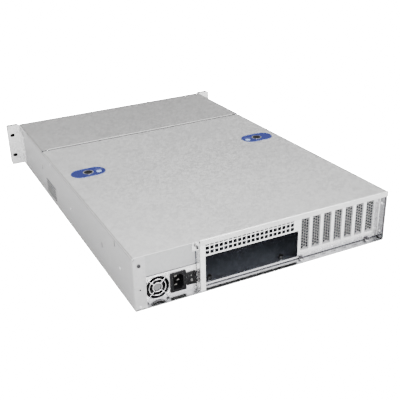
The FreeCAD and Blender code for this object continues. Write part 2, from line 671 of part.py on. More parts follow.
def latch_housing(side):
    """Blue pill: a raised rim, a nearly flush face, the button's bore and a thumb dimple."""
    centre = (side * LATCH_X, LATCH_Y)
    neck = (LATCH_LENGTH - 2 * LATCH_RIM, LATCH_WIDTH - 2 * LATCH_RIM)
    rim_top = LID_TOP + LATCH_PROUD
    rim = slab(centre, (LATCH_LENGTH, LATCH_WIDTH), LATCH_WIDTH / 2, "z", LID_TOP, rim_top)
    top_edges = [edge for edge in rim.Edges if edge.BoundBox.ZMin > rim_top - TINY]
    rim = rim.makeChamfer(LATCH_BEVEL, top_edges)
    body = slab(centre, neck, neck[1] / 2, "z", LID_TOP - LATCH_DEPTH, LID_TOP + TINY)
    dish = slab(centre, neck, neck[1] / 2, "z", LATCH_FACE, rim_top + 1)
    bore_floor = LID_TOP - LATCH_DEPTH + COVER_SHEET
    bore = rod((*centre, bore_floor), (0, 0, 1), LATCH_BUTTON_RADIUS + SLIP, LATCH_DEPTH + 5)
    seat = rod((*centre, LATCH_FACE - LATCH_COLLAR_SEAT), (0, 0, 1),
               LATCH_BUTTON_RADIUS + LATCH_COLLAR_WIDTH, 5)
    ball = (THUMB_DIMPLE_RADIUS ** 2 + THUMB_DIMPLE_DEPTH ** 2) / (2 * THUMB_DIMPLE_DEPTH)
    dimple_x = centre[0] - side * THUMB_DIMPLE_OFFSET
    dimple = Part.makeSphere(ball, Vector(dimple_x, LATCH_Y, LATCH_FACE + ball - THUMB_DIMPLE_DEPTH))
    return joined([rim, body]).cut([dish, bore, seat, dimple])


def latch_collar(side):
    """Bright ring round the latch button, seated in the housing's face."""
    centre = (side * LATCH_X, LATCH_Y)
    base = LATCH_FACE - LATCH_COLLAR_SEAT
    outer = rod((*centre, base), (0, 0, 1), LATCH_BUTTON_RADIUS + LATCH_COLLAR_WIDTH - LATCH_FIT,
                LATCH_COLLAR_SEAT + LATCH_COLLAR_PROUD)
    return outer.cut(rod((*centre, base - 1), (0, 0, 1), LATCH_BUTTON_RADIUS + SLIP, 5))


def latch_button(side):
    """Push button with a rounded rim and a shallow dished top, over the bore's floor."""
    top = LATCH_FACE + LATCH_BUTTON_PROUD
    base = LID_TOP - LATCH_DEPTH + COVER_SHEET + LATCH_BUTTON_TRAVEL + SLIP
    centre = (side * LATCH_X, LATCH_Y)
    button = rod((*centre, base), (0, 0, 1), LATCH_BUTTON_RADIUS, top - base)
    rim = [edge for edge in button.Edges if edge.BoundBox.ZMin > top - TINY]
    button = button.makeFillet(LATCH_BUTTON_PROUD * 0.8, rim)
    finger = LATCH_BUTTON_RADIUS * 0.6
    return button.cut(rod((*centre, top - LATCH_BUTTON_DISH), (0, 0, 1), finger, 2))


# ---- Rack ears and front ------------------------------------------------------------------------
def ear_slots(low_y, high_y):
    """The standard pair of slots in the right-hand ear."""
    size = (EAR_SLOT_LENGTH, EAR_SLOT_HEIGHT)
    places = [(EAR_EDGE - EAR_HOLE_FROM_EDGE, HEIGHT / 2 + shift * EAR_HOLE_SPACING_Z / 2)
              for shift in (-1, 1)]
    return [slab(place, size, EAR_SLOT_HEIGHT / 2, "y", low_y, high_y) for place in places]


def cap_screw_rods(radius, length):
    """Rods along the screws that hold the right-hand cap, from the ear's rear face forwards."""
    x = HALF + EAR_CAP_SCREW_FROM_SIDE
    return [rod((x, FRONT + EAR_SHEET, z), (0, -1, 0), radius, length) for z in EAR_CAP_SCREWS_Z]


def ear_cap_screws():
    """Small screws through each ear into its cap."""
    x, y = HALF + EAR_CAP_SCREW_FROM_SIDE, FRONT + EAR_SHEET
    shanks = cap_screw_rods(CAP_SCREW_RADIUS, CAP_SCREW_LENGTH)
    screws = [joined([pan_head((x, y, z), (0, 1, 0), CAP_SCREW_HEAD, 0.7), shank])
              for shank, z in zip(shanks, EAR_CAP_SCREWS_Z)]
    return group(screws + [mirrored(screw) for screw in screws])


def rack_ear(side):
    """Angle with a slotted plate at the front and a short flange on the side wall."""
    line = [(HALF, FRONT + EAR_FLANGE_LENGTH), (HALF, FRONT), (EAR_EDGE, FRONT)]
    angle = folded(line, EAR_SHEET, "z", 0, HEIGHT)
    low_x = HALF - 2 * EAR_CORNER
    front_shape = slab(((low_x + EAR_EDGE) / 2, HEIGHT / 2), (EAR_EDGE - low_x, HEIGHT),
                       EAR_CORNER, "y", FRONT - 1, FRONT + EAR_SHEET + BEND)
    low_y = FRONT - EAR_FLANGE_CORNER
    middle_z = (EAR_FLANGE_LOW + EAR_FLANGE_HIGH) / 2
    flange_size = (EAR_FLANGE_LENGTH + EAR_FLANGE_CORNER, EAR_FLANGE_HIGH - EAR_FLANGE_LOW)
    flange_shape = slab((low_y + flange_size[0] / 2, middle_z), flange_size, EAR_FLANGE_CORNER, "x",
                        HALF - 1, HALF + EAR_SHEET + BEND)
    ear = angle.common(joined([front_shape, flange_shape]))
    screw_holes = cap_screw_rods(CAP_SCREW_RADIUS, EAR_SHEET + 1)
    ear = ear.cut(ear_slots(FRONT - 1, FRONT + 2 * EAR_SHEET) + screw_holes)
    return ear if side > 0 else mirrored(ear)


def ear_cap(side):
    """Moulded cap on the front of the ear, with the same two slots through it."""
    x = (HALF + EAR_CAP_INSET, EAR_EDGE)
    size = (x[1] - x[0], HEIGHT - 2 * EAR_CAP_INSET)
    cap = slab((sum(x) / 2, HEIGHT / 2), size, EAR_CORNER, "y", FRONT - EAR_CAP_DEPTH, FRONT)
    front_edges = [edge for edge in cap.Edges if edge.BoundBox.YMax < FRONT - EAR_CAP_DEPTH + TINY]
    cap = cap.makeFillet(EAR_CORNER / 2, front_edges)
    screw_bores = cap_screw_rods(CAP_SCREW_RADIUS, CAP_SCREW_LENGTH + SLIP)
    cap = cap.cut(ear_slots(FRONT - EAR_CAP_DEPTH - 1, FRONT + 1) + screw_bores)
    return cap if side > 0 else mirrored(cap)


def ear_screw_places():
    y = FRONT + EAR_FLANGE_LENGTH / 2 + EAR_SHEET
    return [(side, y, z) for side in (-1, 1) for z in EAR_SCREWS_Z]


def front_panel():
    """Front tray with rows of inlet slots and holes for the controls (plainly finished)."""
    flat = tray((-WALL_IN, WALL_IN), (SHEET, HEIGHT - SHEET), COVER_SHEET, left=FRONT_FLANGE,
                right=FRONT_FLANGE, near=FRONT_FLANGE, far=FRONT_FLANGE,
                near_span=(-WALL_IN + FOLD, WALL_IN - FOLD),
                far_span=(-WALL_IN + WALL_FLANGE + 2, WALL_IN - WALL_FLANGE - 2))
    panel = facing(flat, "-y", (0, PANEL_FACE, 0))
    through = (PANEL_FACE - 1, PANEL_FACE + 2)
    cuts = []
    for row in range(INTAKE_ROWS):
        for column in range(INTAKE_COLUMNS):
            x = (column - (INTAKE_COLUMNS - 1) / 2) * INTAKE_PITCH_X
            z = HEIGHT / 2 + (row - (INTAKE_ROWS - 1) / 2) * INTAKE_PITCH_Z
            size = (INTAKE_SLOT_LENGTH, INTAKE_SLOT_HEIGHT)
            cuts.append(slab((x, z), size, INTAKE_SLOT_HEIGHT / 2, "y", *through))
    for radius, z in ((POWER_BUTTON_RADIUS, POWER_BUTTON_Z), (RESET_BUTTON_RADIUS, RESET_BUTTON_Z)):
        cuts.append(rod((CONTROL_X, PANEL_FACE - 1, z), (0, 1, 0), radius + SLIP, 3))
    for z in LENS_Z:
        cuts.append(rod((CONTROL_X, PANEL_FACE - 1, z), (0, 1, 0), LENS_RADIUS, 3))
    return panel.cut(cuts)


def push_button(radius, z):
    """Button with a collar behind the panel that stops it from falling out."""
    tip = PANEL_FACE - BUTTON_PROUD
    stem = rod((CONTROL_X, tip, z), (0, 1, 0), radius, BUTTON_PROUD + BUTTON_STEM)
    edge = [e for e in stem.Edges if e.BoundBox.YMax < tip + TINY]
    stem = stem.makeFillet(BUTTON_ROUNDING, edge)
    collar_y = PANEL_FACE + COVER_SHEET + SLIP
    collar = rod((CONTROL_X, collar_y, z), (0, 1, 0), radius + BUTTON_COLLAR, BUTTON_COLLAR_DEPTH)
    return joined([stem, collar])


def indicator_lenses():
    y = PANEL_FACE - LENS_PROUD
    return group([rod((CONTROL_X, y, z), (0, 1, 0), LENS_RADIUS, LENS_LENGTH) for z in LENS_Z])


# ---- Fans ---------------------------------------------------------------------------------------
def fan_frame(size, depth, hole_pitch, hole_radius):
    """Fan housing with its duct, corner holes and a motor seat on three struts. Axis +Z."""
    duct = size / 2 - FAN_WALL
    hub = size * FAN_HUB_SHARE
    corner = size * FAN_CORNER_SHARE
    frame = slab((0, 0), (size, size), corner, "z", 0, depth)
    cuts = [rod((0, 0, -1), (0, 0, 1), duct, depth + 2)]
    for a in (-1, 1):
        for b in (-1, 1):
            place = (a * hole_pitch / 2, b * hole_pitch / 2, -1)
            cuts.append(rod(place, (0, 0, 1), hole_radius, depth + 2))
    struts = []
    half = FAN_STRUT_WIDTH / 2
    for turn in FAN_STRUT_ANGLES:
        arm = box((0, duct + FAN_WALL / 2), (-half, half), (0, FAN_STRUT_DEPTH))
        struts.append(arm.rotate(Vector(0, 0, 0), Vector(0, 0, 1), turn))
    seat = rod((0, 0, 0), (0, 0, 1), hub, FAN_SEAT_DEPTH)
    bore = rod((0, 0, FAN_SEAT_FLOOR), (0, 0, 1), FAN_SHAFT + FAN_SHAFT_FIT, FAN_SEAT_DEPTH)
    return joined([frame.cut(cuts), seat, *struts]).cut(bore)


def blade_section(radius, pitch, sweep, chord, skin, middle):
    """A thin four-sided blade section at a radius, pitched to the axis and swept round it."""
    tilt = math.radians(pitch)
    along = (math.cos(tilt), math.sin(tilt))
    corners = []
    for a, b in ((-1, -1), (1, -1), (1, 1), (-1, 1)):
        u = a * chord / 2 * along[0] - b * skin / 2 * along[1]
        w = a * chord / 2 * along[1] + b * skin / 2 * along[0]
        corners.append(Vector(radius, u, middle + w))
    wire = Part.makePolygon([*corners, corners[0]])
    return wire.rotate(Vector(0, 0, 0), Vector(0, 0, 1), sweep)


def fan_rotor(size, depth):
    """Cupped hub, shaft and swept, twisted blades whose tips follow the duct. Axis +Z."""
    duct = size / 2 - FAN_WALL
    hub = size * FAN_HUB_SHARE
    root = hub * BLADE_ROOT_SHARE
    low, high = FAN_SEAT_DEPTH + FAN_HUB_GAP, depth - FAN_END_GAP
    height = high - low
    skin = size * BLADE_SKIN_SHARE
    sections = []
    for share, pitch, sweep in BLADE_STATIONS:
        radius = root + share * (duct + 1 - root)
        room = (2 * math.pi * radius / FAN_BLADES / math.cos(math.radians(pitch)),
                height / math.sin(math.radians(pitch)))
        chord = BLADE_CHORD_SHARE * min(room)
        sections.append(blade_section(radius, pitch, sweep, chord, skin, (low + high) / 2))
    blade = Part.makeLoft(sections, True, True)
    blade = blade.common(rod((0, 0, low), (0, 0, 1), duct - FAN_TIP_GAP, height))
    pieces = [rod((0, 0, low), (0, 0, 1), hub, height)]
    for index in range(FAN_BLADES):
        turned = blade.copy().rotate(Vector(0, 0, 0), Vector(0, 0, 1), 360 / FAN_BLADES * index)
        pieces.append(turned)
    pieces.append(rod((0, 0, FAN_SEAT_FLOOR + SLIP), (0, 0, 1), FAN_SHAFT, low))
    return joined(pieces)


def psu_fan_place():
    return (PSU_X[1] - PSU_HEIGHT / 2, PSU_Y - PSU_SHEET, PSU_MIDDLE_Z)


def case_fan_x():
    offsets = range(CASE_FAN_COUNT)
    return [(i - (CASE_FAN_COUNT - 1) / 2) * CASE_FAN_SPACING for i in offsets]


def case_fan_place(x):
    return (x, FAN_WALL_Y, SHEET + CASE_FAN_LIFT + CASE_FAN / 2)


# ---- Power supply -------------------------------------------------------------------------------
def psu_housing():
    """Hollow steel case with openings for the fan, the inlet and the switch."""
    y = (PSU_Y - PSU_LENGTH, PSU_Y)
    z = (SHEET, SHEET + PSU_HEIGHT)
    t = PSU_SHEET
    outer = box(PSU_X, y, z)
    inner = box((PSU_X[0] + t, PSU_X[1] - t), (y[0] + t, y[1] - t), (z[0] + t, z[1] - t))
    fan_x = psu_fan_place()[0]
    through = (PSU_Y - 2, PSU_Y + 2)
    opening = SMALL_FAN / 2 - PSU_FAN_OPENING_INSET
    cuts = [inner, rod((fan_x, PSU_Y - 2, PSU_MIDDLE_Z), (0, 1, 0), opening, 4)]
    for a in (-1, 1):
        for b in (-1, 1):
            place = (fan_x + a * SMALL_FAN_PITCH / 2, PSU_Y - 2, PSU_MIDDLE_Z + b * SMALL_FAN_PITCH / 2)
            cuts.append(rod(place, (0, 1, 0), SMALL_FAN_HOLE, 4))
    inlet = (INLET_WIDTH - 2 * INLET_HOLE_INSET, INLET_HEIGHT - 2 * INLET_HOLE_INSET)
    cuts.append(slab(inlet_centre(), inlet, 1, "y", *through))
    switch = (SWITCH_WIDTH - 2 * SWITCH_HOLE_INSET, SWITCH_HEIGHT - 2 * SWITCH_HOLE_INSET)
    cuts.append(slab((SWITCH_X, PSU_MIDDLE_Z), switch, 1, "y", *through))
    for index in range(PSU_SLOT_COUNT):
        centre = (PSU_X[0] + PSU_SLOT_FIRST + index * PSU_SLOT_PITCH, PSU_MIDDLE_Z)
        cuts.append(slab(centre, PSU_SLOT_SIZE, PSU_SLOT_SIZE[0] / 2, "y", y[0] - 1, y[0] + 2))
    return outer.cut(cuts)


def psu_fan_guard():
    """Flat wire finger guard: rings on crossed spokes that end in loops round the screws."""
    x, _, z = psu_fan_place()
    middle = Vector(x, PSU_Y + GUARD_WIRE, z)
    outward = Vector(0, 1, 0)
    outer = SMALL_FAN / 2 - GUARD_RING_INSET
    rings = [outer - i * GUARD_RING_PITCH for i in range(GUARD_RING_COUNT)]
    wires = [Part.makeTorus(radius, GUARD_WIRE, middle, outward) for radius in rings]
    corner = SMALL_FAN_PITCH / math.sqrt(2)
    for turn in (45, 135, 225, 315):
        along = Vector(math.cos(math.radians(turn)), 0, math.sin(math.radians(turn)))
        reach = corner - GUARD_LOOP - rings[-1]
        wires.append(Part.makeCylinder(GUARD_SPOKE, reach, middle + along * rings[-1], along))
        wires.append(Part.makeTorus(GUARD_LOOP, GUARD_WIRE, middle + along * corner, outward))
    return joined(wires)


def psu_fan_screws():
    """Four screws through the guard's loops into the fan."""
    x, _, z = psu_fan_place()
    seat = PSU_Y + 2 * GUARD_WIRE
    screws = []
    for a in (-1, 1):
        for b in (-1, 1):
            place = (x + a * SMALL_FAN_PITCH / 2, seat, z + b * SMALL_FAN_PITCH / 2)
            head = pan_head(place, (0, 1, 0), GUARD_SCREW_HEAD, GUARD_SCREW_HEAD_HEIGHT)
            length = seat - PSU_Y + GUARD_SCREW_LENGTH
            screws.append(joined([head, rod(place, (0, -1, 0), GUARD_SCREW_RADIUS, length)]))
    return group(screws)


def inlet_centre():
    return PSU_X[1] - INLET_FROM_SIDE, PSU_MIDDLE_Z


def power_inlet():
    """Mains inlet turned on its side: plate, body and a well with two cut corners."""
    x, z = inlet_centre()
    size = (INLET_WIDTH, INLET_HEIGHT)
    plate = slab((x, z), size, 1.5, "y", PSU_Y, PSU_Y + INLET_PLATE)
    inner = (size[0] - 2 * INLET_BODY_INSET, size[1] - 2 * INLET_BODY_INSET)
    body = slab((x, z), inner, 1, "y", PSU_Y - INLET_DEPTH, PSU_Y + TINY)
    half_x, half_z = INLET_WELL[0] / 2, INLET_WELL[1] / 2
    cut = INLET_WELL_CUT
    points = [(x + half_x, z - half_z), (x + half_x, z + half_z), (x - half_x + cut, z + half_z),
              (x - half_x, z + half_z - cut), (x - half_x, z - half_z + cut),
              (x - half_x + cut, z - half_z)]
    well = outline(points, 0.8, "y", PSU_Y - INLET_WELL_DEPTH, PSU_Y + INLET_PLATE + 1)
    return joined([plate, body]).cut(well)


def inlet_pins():
    """Three flat pins that stand on the floor of the inlet's well."""
    x, z = inlet_centre()
    y = (PSU_Y - INLET_WELL_DEPTH, PSU_Y - PIN_RECESS)
    return group([slab((x + dx, z + dz), PIN_SIZE, 0.6, "y", *y) for dx, dz in PIN_PLACES])


def power_switch_frame():
    """Bezel and body of the rocker switch, with bores for the rocker's pivots."""
    centre = (SWITCH_X, PSU_MIDDLE_Z)
    size = (SWITCH_WIDTH, SWITCH_HEIGHT)
    bezel = slab(centre, size, 1, "y", PSU_Y, PSU_Y + SWITCH_PLATE)
    inner = (size[0] - 2 * SWITCH_BODY_INSET, size[1] - 2 * SWITCH_BODY_INSET)
    body = slab(centre, inner, 1, "y", PSU_Y - SWITCH_DEPTH, PSU_Y + TINY)
    well_size = (rocker_width() + 2 * SLIP, size[1] - 2 * SWITCH_WELL_INSET)
    well = slab(centre, well_size, 0.5, "y", PSU_Y - SWITCH_WELL_DEPTH, PSU_Y + SWITCH_PLATE + 1)
    reach = rocker_width() / 2 + PIVOT_STUB + PIVOT_FIT
    pivot = rod((SWITCH_X - reach, PIVOT_Y, PSU_MIDDLE_Z), (1, 0, 0), PIVOT_RADIUS + PIVOT_FIT,
                2 * reach)
    return joined([bezel, body]).cut([well, pivot])


def rocker_width():
    return SWITCH_WIDTH - 2 * ROCKER_INSET


def power_switch_rocker():
    """Rocker with a shallow V face, tilted to its off side, on two pivot stubs."""
    half = SWITCH_HEIGHT / 2 - SWITCH_WELL_INSET - ROCKER_END_GAP
    z = PSU_MIDDLE_Z
    line = [(PIVOT_Y + 4.2, z), (PIVOT_Y + 5.6, z + half), (PIVOT_Y - 0.5, z + half - 0.5),
            (PIVOT_Y - 4.0, z), (PIVOT_Y - 0.5, z - half + 0.5), (PIVOT_Y + 5.6, z - half)]
    width = rocker_width()
    body = outline(line, 0.4, "x", SWITCH_X - width / 2, SWITCH_X + width / 2)
    stubs = rod((SWITCH_X - width / 2 - PIVOT_STUB, PIVOT_Y, z), (1, 0, 0), PIVOT_RADIUS,
                width + 2 * PIVOT_STUB)
    rocker = joined([body, stubs])
    return rocker.rotate(Vector(SWITCH_X, PIVOT_Y, z), Vector(1, 0, 0), SWITCH_TILT)


# ---- Inside -------------------------------------------------------------------------------------
def fan_wall():
    """Cross wall with three round openings for the case fans, folded along its edges."""
    gap = WALL_IN - SLIP
    flat = tray((-gap, gap), (SHEET, FAN_WALL_TOP), COVER_SHEET, left=FAN_WALL_FLANGE,
                right=FAN_WALL_FLANGE, far=FAN_WALL_FLANGE, near=FAN_WALL_FLANGE,
                far_span=(-HALF + WALL_FLANGE + FOLD, HALF - WALL_FLANGE - FOLD),
                near_span=(-gap + FOLD, gap - FOLD))
    wall = facing(flat, "-y", (0, FAN_WALL_Y, 0))
    cuts = []
    opening = CASE_FAN / 2 - CASE_FAN_OPENING_INSET
    for x in case_fan_x():
        _, _, z = case_fan_place(x)
        cuts.append(rod((x, FAN_WALL_Y - 1, z), (0, 1, 0), opening, 4))
        for a in (-1, 1):
            for b in (-1, 1):
                hole = (x + a * CASE_FAN_PITCH / 2, FAN_WALL_Y - 1, z + b * CASE_FAN_PITCH / 2)
                cuts.append(rod(hole, (0, 1, 0), CASE_FAN_HOLE, 4))
    for side in (-1, 1):
        under_flange = box((side * (HALF - WALL_FLANGE - 1), side * HALF),
                           (FAN_WALL_Y - 1, FAN_WALL_Y + FAN_WALL_FLANGE + 1),
                           (WALL_TOP - SHEET - BEND, HEIGHT))
        cuts.append(under_flange)
    return wall.cut(cuts)


def drive_shelf():
    """Low folded shelf for drives in the front bay, with rows of mounting holes."""
    flat = tray((-SHELF_WIDTH / 2, SHELF_WIDTH / 2), (0, SHELF_LENGTH), SHEET,
                left=SHELF_TOP - SHEET, right=SHELF_TOP - SHEET)
    shelf = facing(flat, "+z", (0, FRONT + SHELF_FROM_FRONT, SHELF_TOP))
    cuts = []
    for column in (-1, 1):
        for from_front in SHELF_SLOTS_FROM_FRONT:
            centre = (column * SHELF_WIDTH / 4, FRONT + from_front)
            cuts.append(slab(centre, SHELF_SLOT, SHELF_SLOT[1] / 2, "z", SHELF_TOP - 3, SHELF_TOP + 1))
    return shelf.cut(cuts)


def board_standoffs():
    """Hexagonal spacers on the standard board grid, each with a threaded bore."""
    board_rear = PANEL_Y - COVER_SHEET - BOARD_EDGE_GAP
    spacers = []
    for x in STANDOFF_COLUMNS_X:
        for row in STANDOFF_ROWS:
            y = board_rear - row
            post = hexagon((x, y), 2 * STANDOFF_RADIUS, "z", SHEET, SHEET + STANDOFF_HEIGHT)
            bore = rod((x, y, SHEET + STANDOFF_FLOOR), (0, 0, 1), STANDOFF_BORE, STANDOFF_HEIGHT)
            spacers.append(post.cut(bore))
    return group(spacers)


# ---- Fasteners ----------------------------------------------------------------------------------
def pan_head(place, axis, radius, height):
    """A screw or rivet head with a bevelled rim. place is where the head seats."""
    direction = Vector(*axis)
    base = Vector(*place)
    rim = height * 0.4
    skirt = Part.makeCylinder(radius, height - rim, base, direction)
    crown = Part.makeCone(radius, radius * 0.7, rim, base + direction * (height - rim), direction)
    return joined([skirt, crown])


def slot_cover_screws():
    top = LEDGE_TOP + SLOT_COVER_SHEET
    screws = []
    for index in range(SLOT_COUNT):
        place = (slot_x(index), SLOT_SCREW_Y, top)
        head = pan_head(place, (0, 0, 1), SLOT_SCREW_HEAD, SLOT_SCREW_PROUD)
        screws.append(joined([head, rod(place, (0, 0, -1), SLOT_SCREW_RADIUS, SLOT_SCREW_LENGTH)]))
    return group(screws)


def rack_ear_screws():
    return group([pan_head((side * (HALF + EAR_SHEET), y, z), (side, 0, 0), EAR_SCREW_HEAD,
                           EAR_SCREW_PROUD)
                  for side, y, z in ear_screw_places()])


def chassis_rivets():
    flange_y = PANEL_Y + LEDGE_LENGTH / 2
    rivets = [pan_head((-WALL_IN + COVER_SHEET, flange_y, z), (1, 0, 0), RIVET_RADIUS, RIVET_PROUD)
              for z in PANEL_RIVETS_Z]
    rivets.append(pan_head((HALF - FLANGE_RIVET_FROM_SIDE, REAR, FLANGE_RIVET_Z), (0, 1, 0),
                           RIVET_RADIUS, RIVET_PROUD))
    rivets += [pan_head((side * HALF, FRONT + from_front, z), (side, 0, 0), SIDE_RIVET_RADIUS,
                        SIDE_RIVET_PROUD)
               for from_front, z in SIDE_RIVETS for side in (-1, 1)]
    return group(rivets)


def case_screws():
    post = ((DIVIDER_X, REAR - POST_SCREW_FROM_REAR, POST_SCREW_Z), (1, 0, 0))
    flange = ((FLANGE_SCREW_X, REAR, FLANGE_SCREW_Z), (0, 1, 0))
    screws = []
    for place, axis in (post, flange):
        back = [-value for value in axis]
        shank = rod(place, back, SCREW_HOLE - SLIP, CASE_SCREW_LENGTH)
        screws.append(joined([pan_head(place, axis, SCREW_HEAD, SCREW_HEAD_HEIGHT), shank]))
    return group(screws)


# ---- Build --------------------------------------------------------------------------------------
def build():
    nodes = {
        "chassis_pan": chassis_pan(),
        "rear_panel": rear_panel(),
        "psu_divider": psu_divider(),
        "psu_blank_plate": psu_blank_plate(),
        "slot_cover_screws": slot_cover_screws(),
        "front_panel": front_panel(),
        "front_cover": front_cover(),
        "top_lid": top_lid(),
        "rack_ear_left": rack_ear(-1),
        "rack_ear_right": rack_ear(1),
        "rack_ear_screws": rack_ear_screws(),
        "latch_collars": group([latch_collar(side) for side in (-1, 1)]),
        "power_button": push_button(POWER_BUTTON_RADIUS, POWER_BUTTON_Z),
        "reset_button": push_button(RESET_BUTTON_RADIUS, RESET_BUTTON_Z),
        "indicator_lenses": indicator_lenses(),
        "psu_housing": psu_housing(),
        "psu_fan_guard": psu_fan_guard(),
        "psu_fan_screws": psu_fan_screws(),
        "power_inlet": power_inlet(),
        "inlet_pins": inlet_pins(),
        "power_switch_frame": power_switch_frame(),
        "power_switch_rocker": power_switch_rocker(),
        "fan_wall": fan_wall(),
        "drive_shelf": drive_shelf(),
        "board_standoffs": board_standoffs(),
        "chassis_rivets": chassis_rivets(),
        "case_screws": case_screws(),
        "ear_cap_screws": ear_cap_screws(),
    }
    for index in range(SLOT_COUNT):
        nodes[f"slot_cover_{index + 1}"] = slot_cover(index)
    for name, side in (("left", -1), ("right", 1)):
        nodes[f"latch_housing_{name}"] = latch_housing(side)
        nodes[f"latch_button_{name}"] = latch_button(side)
        nodes[f"ear_cap_{name}"] = ear_cap(side)
    small = (SMALL_FAN, SMALL_FAN_DEPTH)
    small_frame = fan_frame(*small, SMALL_FAN_PITCH, SMALL_FAN_HOLE)
    nodes["psu_fan_frame"] = facing(small_frame, "-y", psu_fan_place())
    nodes["psu_fan_rotor"] = facing(fan_rotor(*small), "-y", psu_fan_place())
    large = (CASE_FAN, CASE_FAN_DEPTH)
    for index, x in enumerate(case_fan_x()):
        frame = fan_frame(*large, CASE_FAN_PITCH, CASE_FAN_HOLE)
        nodes[f"fan_frame_{index + 1}"] = facing(frame, "-y", case_fan_place(x))
        nodes[f"fan_rotor_{index + 1}"] = facing(fan_rotor(*large), "-y", case_fan_place(x))
    return nodes


os.makedirs("parts", exist_ok=True)
for name, shape in build().items():
    shape.exportStep(f"parts/{name}.step")
    print(name, len(shape.Solids), shape.isValid(), round(shape.Volume, 1))
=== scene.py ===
import json
import math

import bmesh
import bpy
from mathutils import Matrix, Vector


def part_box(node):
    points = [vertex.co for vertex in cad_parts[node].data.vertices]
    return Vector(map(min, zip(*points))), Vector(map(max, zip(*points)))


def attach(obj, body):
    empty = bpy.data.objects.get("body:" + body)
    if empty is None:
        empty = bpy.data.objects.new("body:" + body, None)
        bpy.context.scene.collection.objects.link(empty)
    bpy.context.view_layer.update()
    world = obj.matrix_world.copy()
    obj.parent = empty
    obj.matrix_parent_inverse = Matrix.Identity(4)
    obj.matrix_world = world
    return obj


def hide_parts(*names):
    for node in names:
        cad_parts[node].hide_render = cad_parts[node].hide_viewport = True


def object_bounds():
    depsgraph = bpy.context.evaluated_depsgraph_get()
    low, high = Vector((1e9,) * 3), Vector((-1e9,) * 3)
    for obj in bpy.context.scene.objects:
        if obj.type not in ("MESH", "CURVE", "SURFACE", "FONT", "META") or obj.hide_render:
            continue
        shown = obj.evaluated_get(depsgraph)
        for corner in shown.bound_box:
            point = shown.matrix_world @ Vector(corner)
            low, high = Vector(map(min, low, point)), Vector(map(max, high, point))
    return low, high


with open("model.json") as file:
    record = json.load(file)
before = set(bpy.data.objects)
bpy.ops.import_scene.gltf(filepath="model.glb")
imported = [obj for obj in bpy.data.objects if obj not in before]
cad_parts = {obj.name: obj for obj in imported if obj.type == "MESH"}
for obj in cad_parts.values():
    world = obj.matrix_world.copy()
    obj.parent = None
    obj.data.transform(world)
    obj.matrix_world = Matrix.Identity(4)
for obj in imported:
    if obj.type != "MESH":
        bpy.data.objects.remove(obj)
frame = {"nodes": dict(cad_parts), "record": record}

CAD_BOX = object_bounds()
NODES = frame["nodes"]
MM = 0.001

# ---- Camera, floor and light: the studio --------------------------------------------------------
CAMERA_PLACE = Vector((0.47365, 1.05419, 0.52686))
CAMERA_HEADING = -112.753        # degrees from +X, seen from above
CAMERA_PITCH = -24.981
CAMERA_ROLL = -3.1
CAMERA_LENS = 59.87
CAMERA_SHIFT = 0.1
FLOOR_SIZE = 14.0
FLOOR_GAP = 0.0004
FLOOR_GLOW = (0.16, 40.0)        # as a light, and as seen
SKY_HEIGHTS = (0.2, 0.6)         # sine of the height above the horizon
SKY_STRENGTHS = (0.25, 1.0)
BACKDROP_GLOW = 40.0             # the sky as seen, as white as the floor
SOFTBOXES = (                    # name, place, point that it faces, width and length, watts
    ("overhead", (-0.4, -0.9, 1.9), (0, 0, 0), (2.0, 1.4), 30),
    ("rear wash", (-0.6, 1.6, 1.1), (-0.5, 1.1, 0), (1.5, 1.2), 68),
    ("ear light", (0.55, 1.3, 0.35), (0.24, -0.31, 0.04), (0.4, 0.4), 14),
)

# ---- Places taken from the construction ---------------------------------------------------------
PANEL_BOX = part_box("rear_panel")
PAN_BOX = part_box("chassis_pan")
LID_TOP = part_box("top_lid")[1][2]
PANEL_FOOT = 8 * MM                           # the rear panel's foot, reaching ahead of its face
PANEL_FACE = PANEL_BOX[0][1] + PANEL_FOOT     # rear face of the rear panel
COVERS_REAR = PANEL_FACE - 1.6 * MM           # between the two faces of the slot covers
RECESS_REAR = PAN_BOX[1][1] - 0.6 * MM        # between the two faces of the rear flange
FLOOR_STRIP_TOP = 2 * MM                      # just above the floor sheet behind the panel
INSIDE = {                       # limits of the closed interior, each within the sheet there
    "Half width": PAN_BOX[1][0] - 0.8 * MM,
    "Front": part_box("front_panel")[0][1] + 0.5 * MM,
    "Rear": PANEL_FACE - 0.8 * MM,
    "Floor": PAN_BOX[0][2] + 0.8 * MM,
    "Ceiling": PAN_BOX[1][2] + 0.6 * MM,
}
SLOT_COVERS = [f"slot_cover_{i}" for i in range(1, 8)]
FAN_FRAMES = ["psu_fan_frame", *(f"fan_frame_{i}" for i in range(1, 4))]
FAN_ROTORS = ["psu_fan_rotor", *(f"fan_rotor_{i}" for i in range(1, 4))]


# ---- Node helpers -------------------------------------------------------------------------------
MIX_COLOUR_INPUTS = (0, 6, 7)    # the factor and the two colours of a mix node
MIX_COLOUR_OUTPUT = 2


def link(tree, source, target):
    tree.links.new(source, target)


def add_node(tree, kind, inputs=None, **settings):
    """A shader node with its properties set, and its inputs set or linked."""
    node = tree.nodes.new(kind)
    for name, value in settings.items():
        setattr(node, name, value)
    for label, value in (inputs or {}).items():
        if isinstance(value, bpy.types.NodeSocket):
            link(tree, value, node.inputs[label])
        else:
            node.inputs[label].default_value = value
    return node


def ramp(tree, factor, low, high, low_value=0.0, high_value=1.0):
    """Spreads the stretch from low to high over the given values."""
    node = add_node(tree, "ShaderNodeMapRange", {
        "Value": factor, "From Min": low, "From Max": high,
        "To Min": low_value, "To Max": high_value})
    return node.outputs["Result"]


def maths(tree, operation, *values):
    node = add_node(tree, "ShaderNodeMath", dict(enumerate(values)), operation=operation)
    return node.outputs[0]


def join_masks(tree, operation, masks):
    """One mask from several, taken in order by the same operation."""
    joined = masks[0]
    for mask in masks[1:]:
        joined = maths(tree, operation, joined, mask)
    return joined


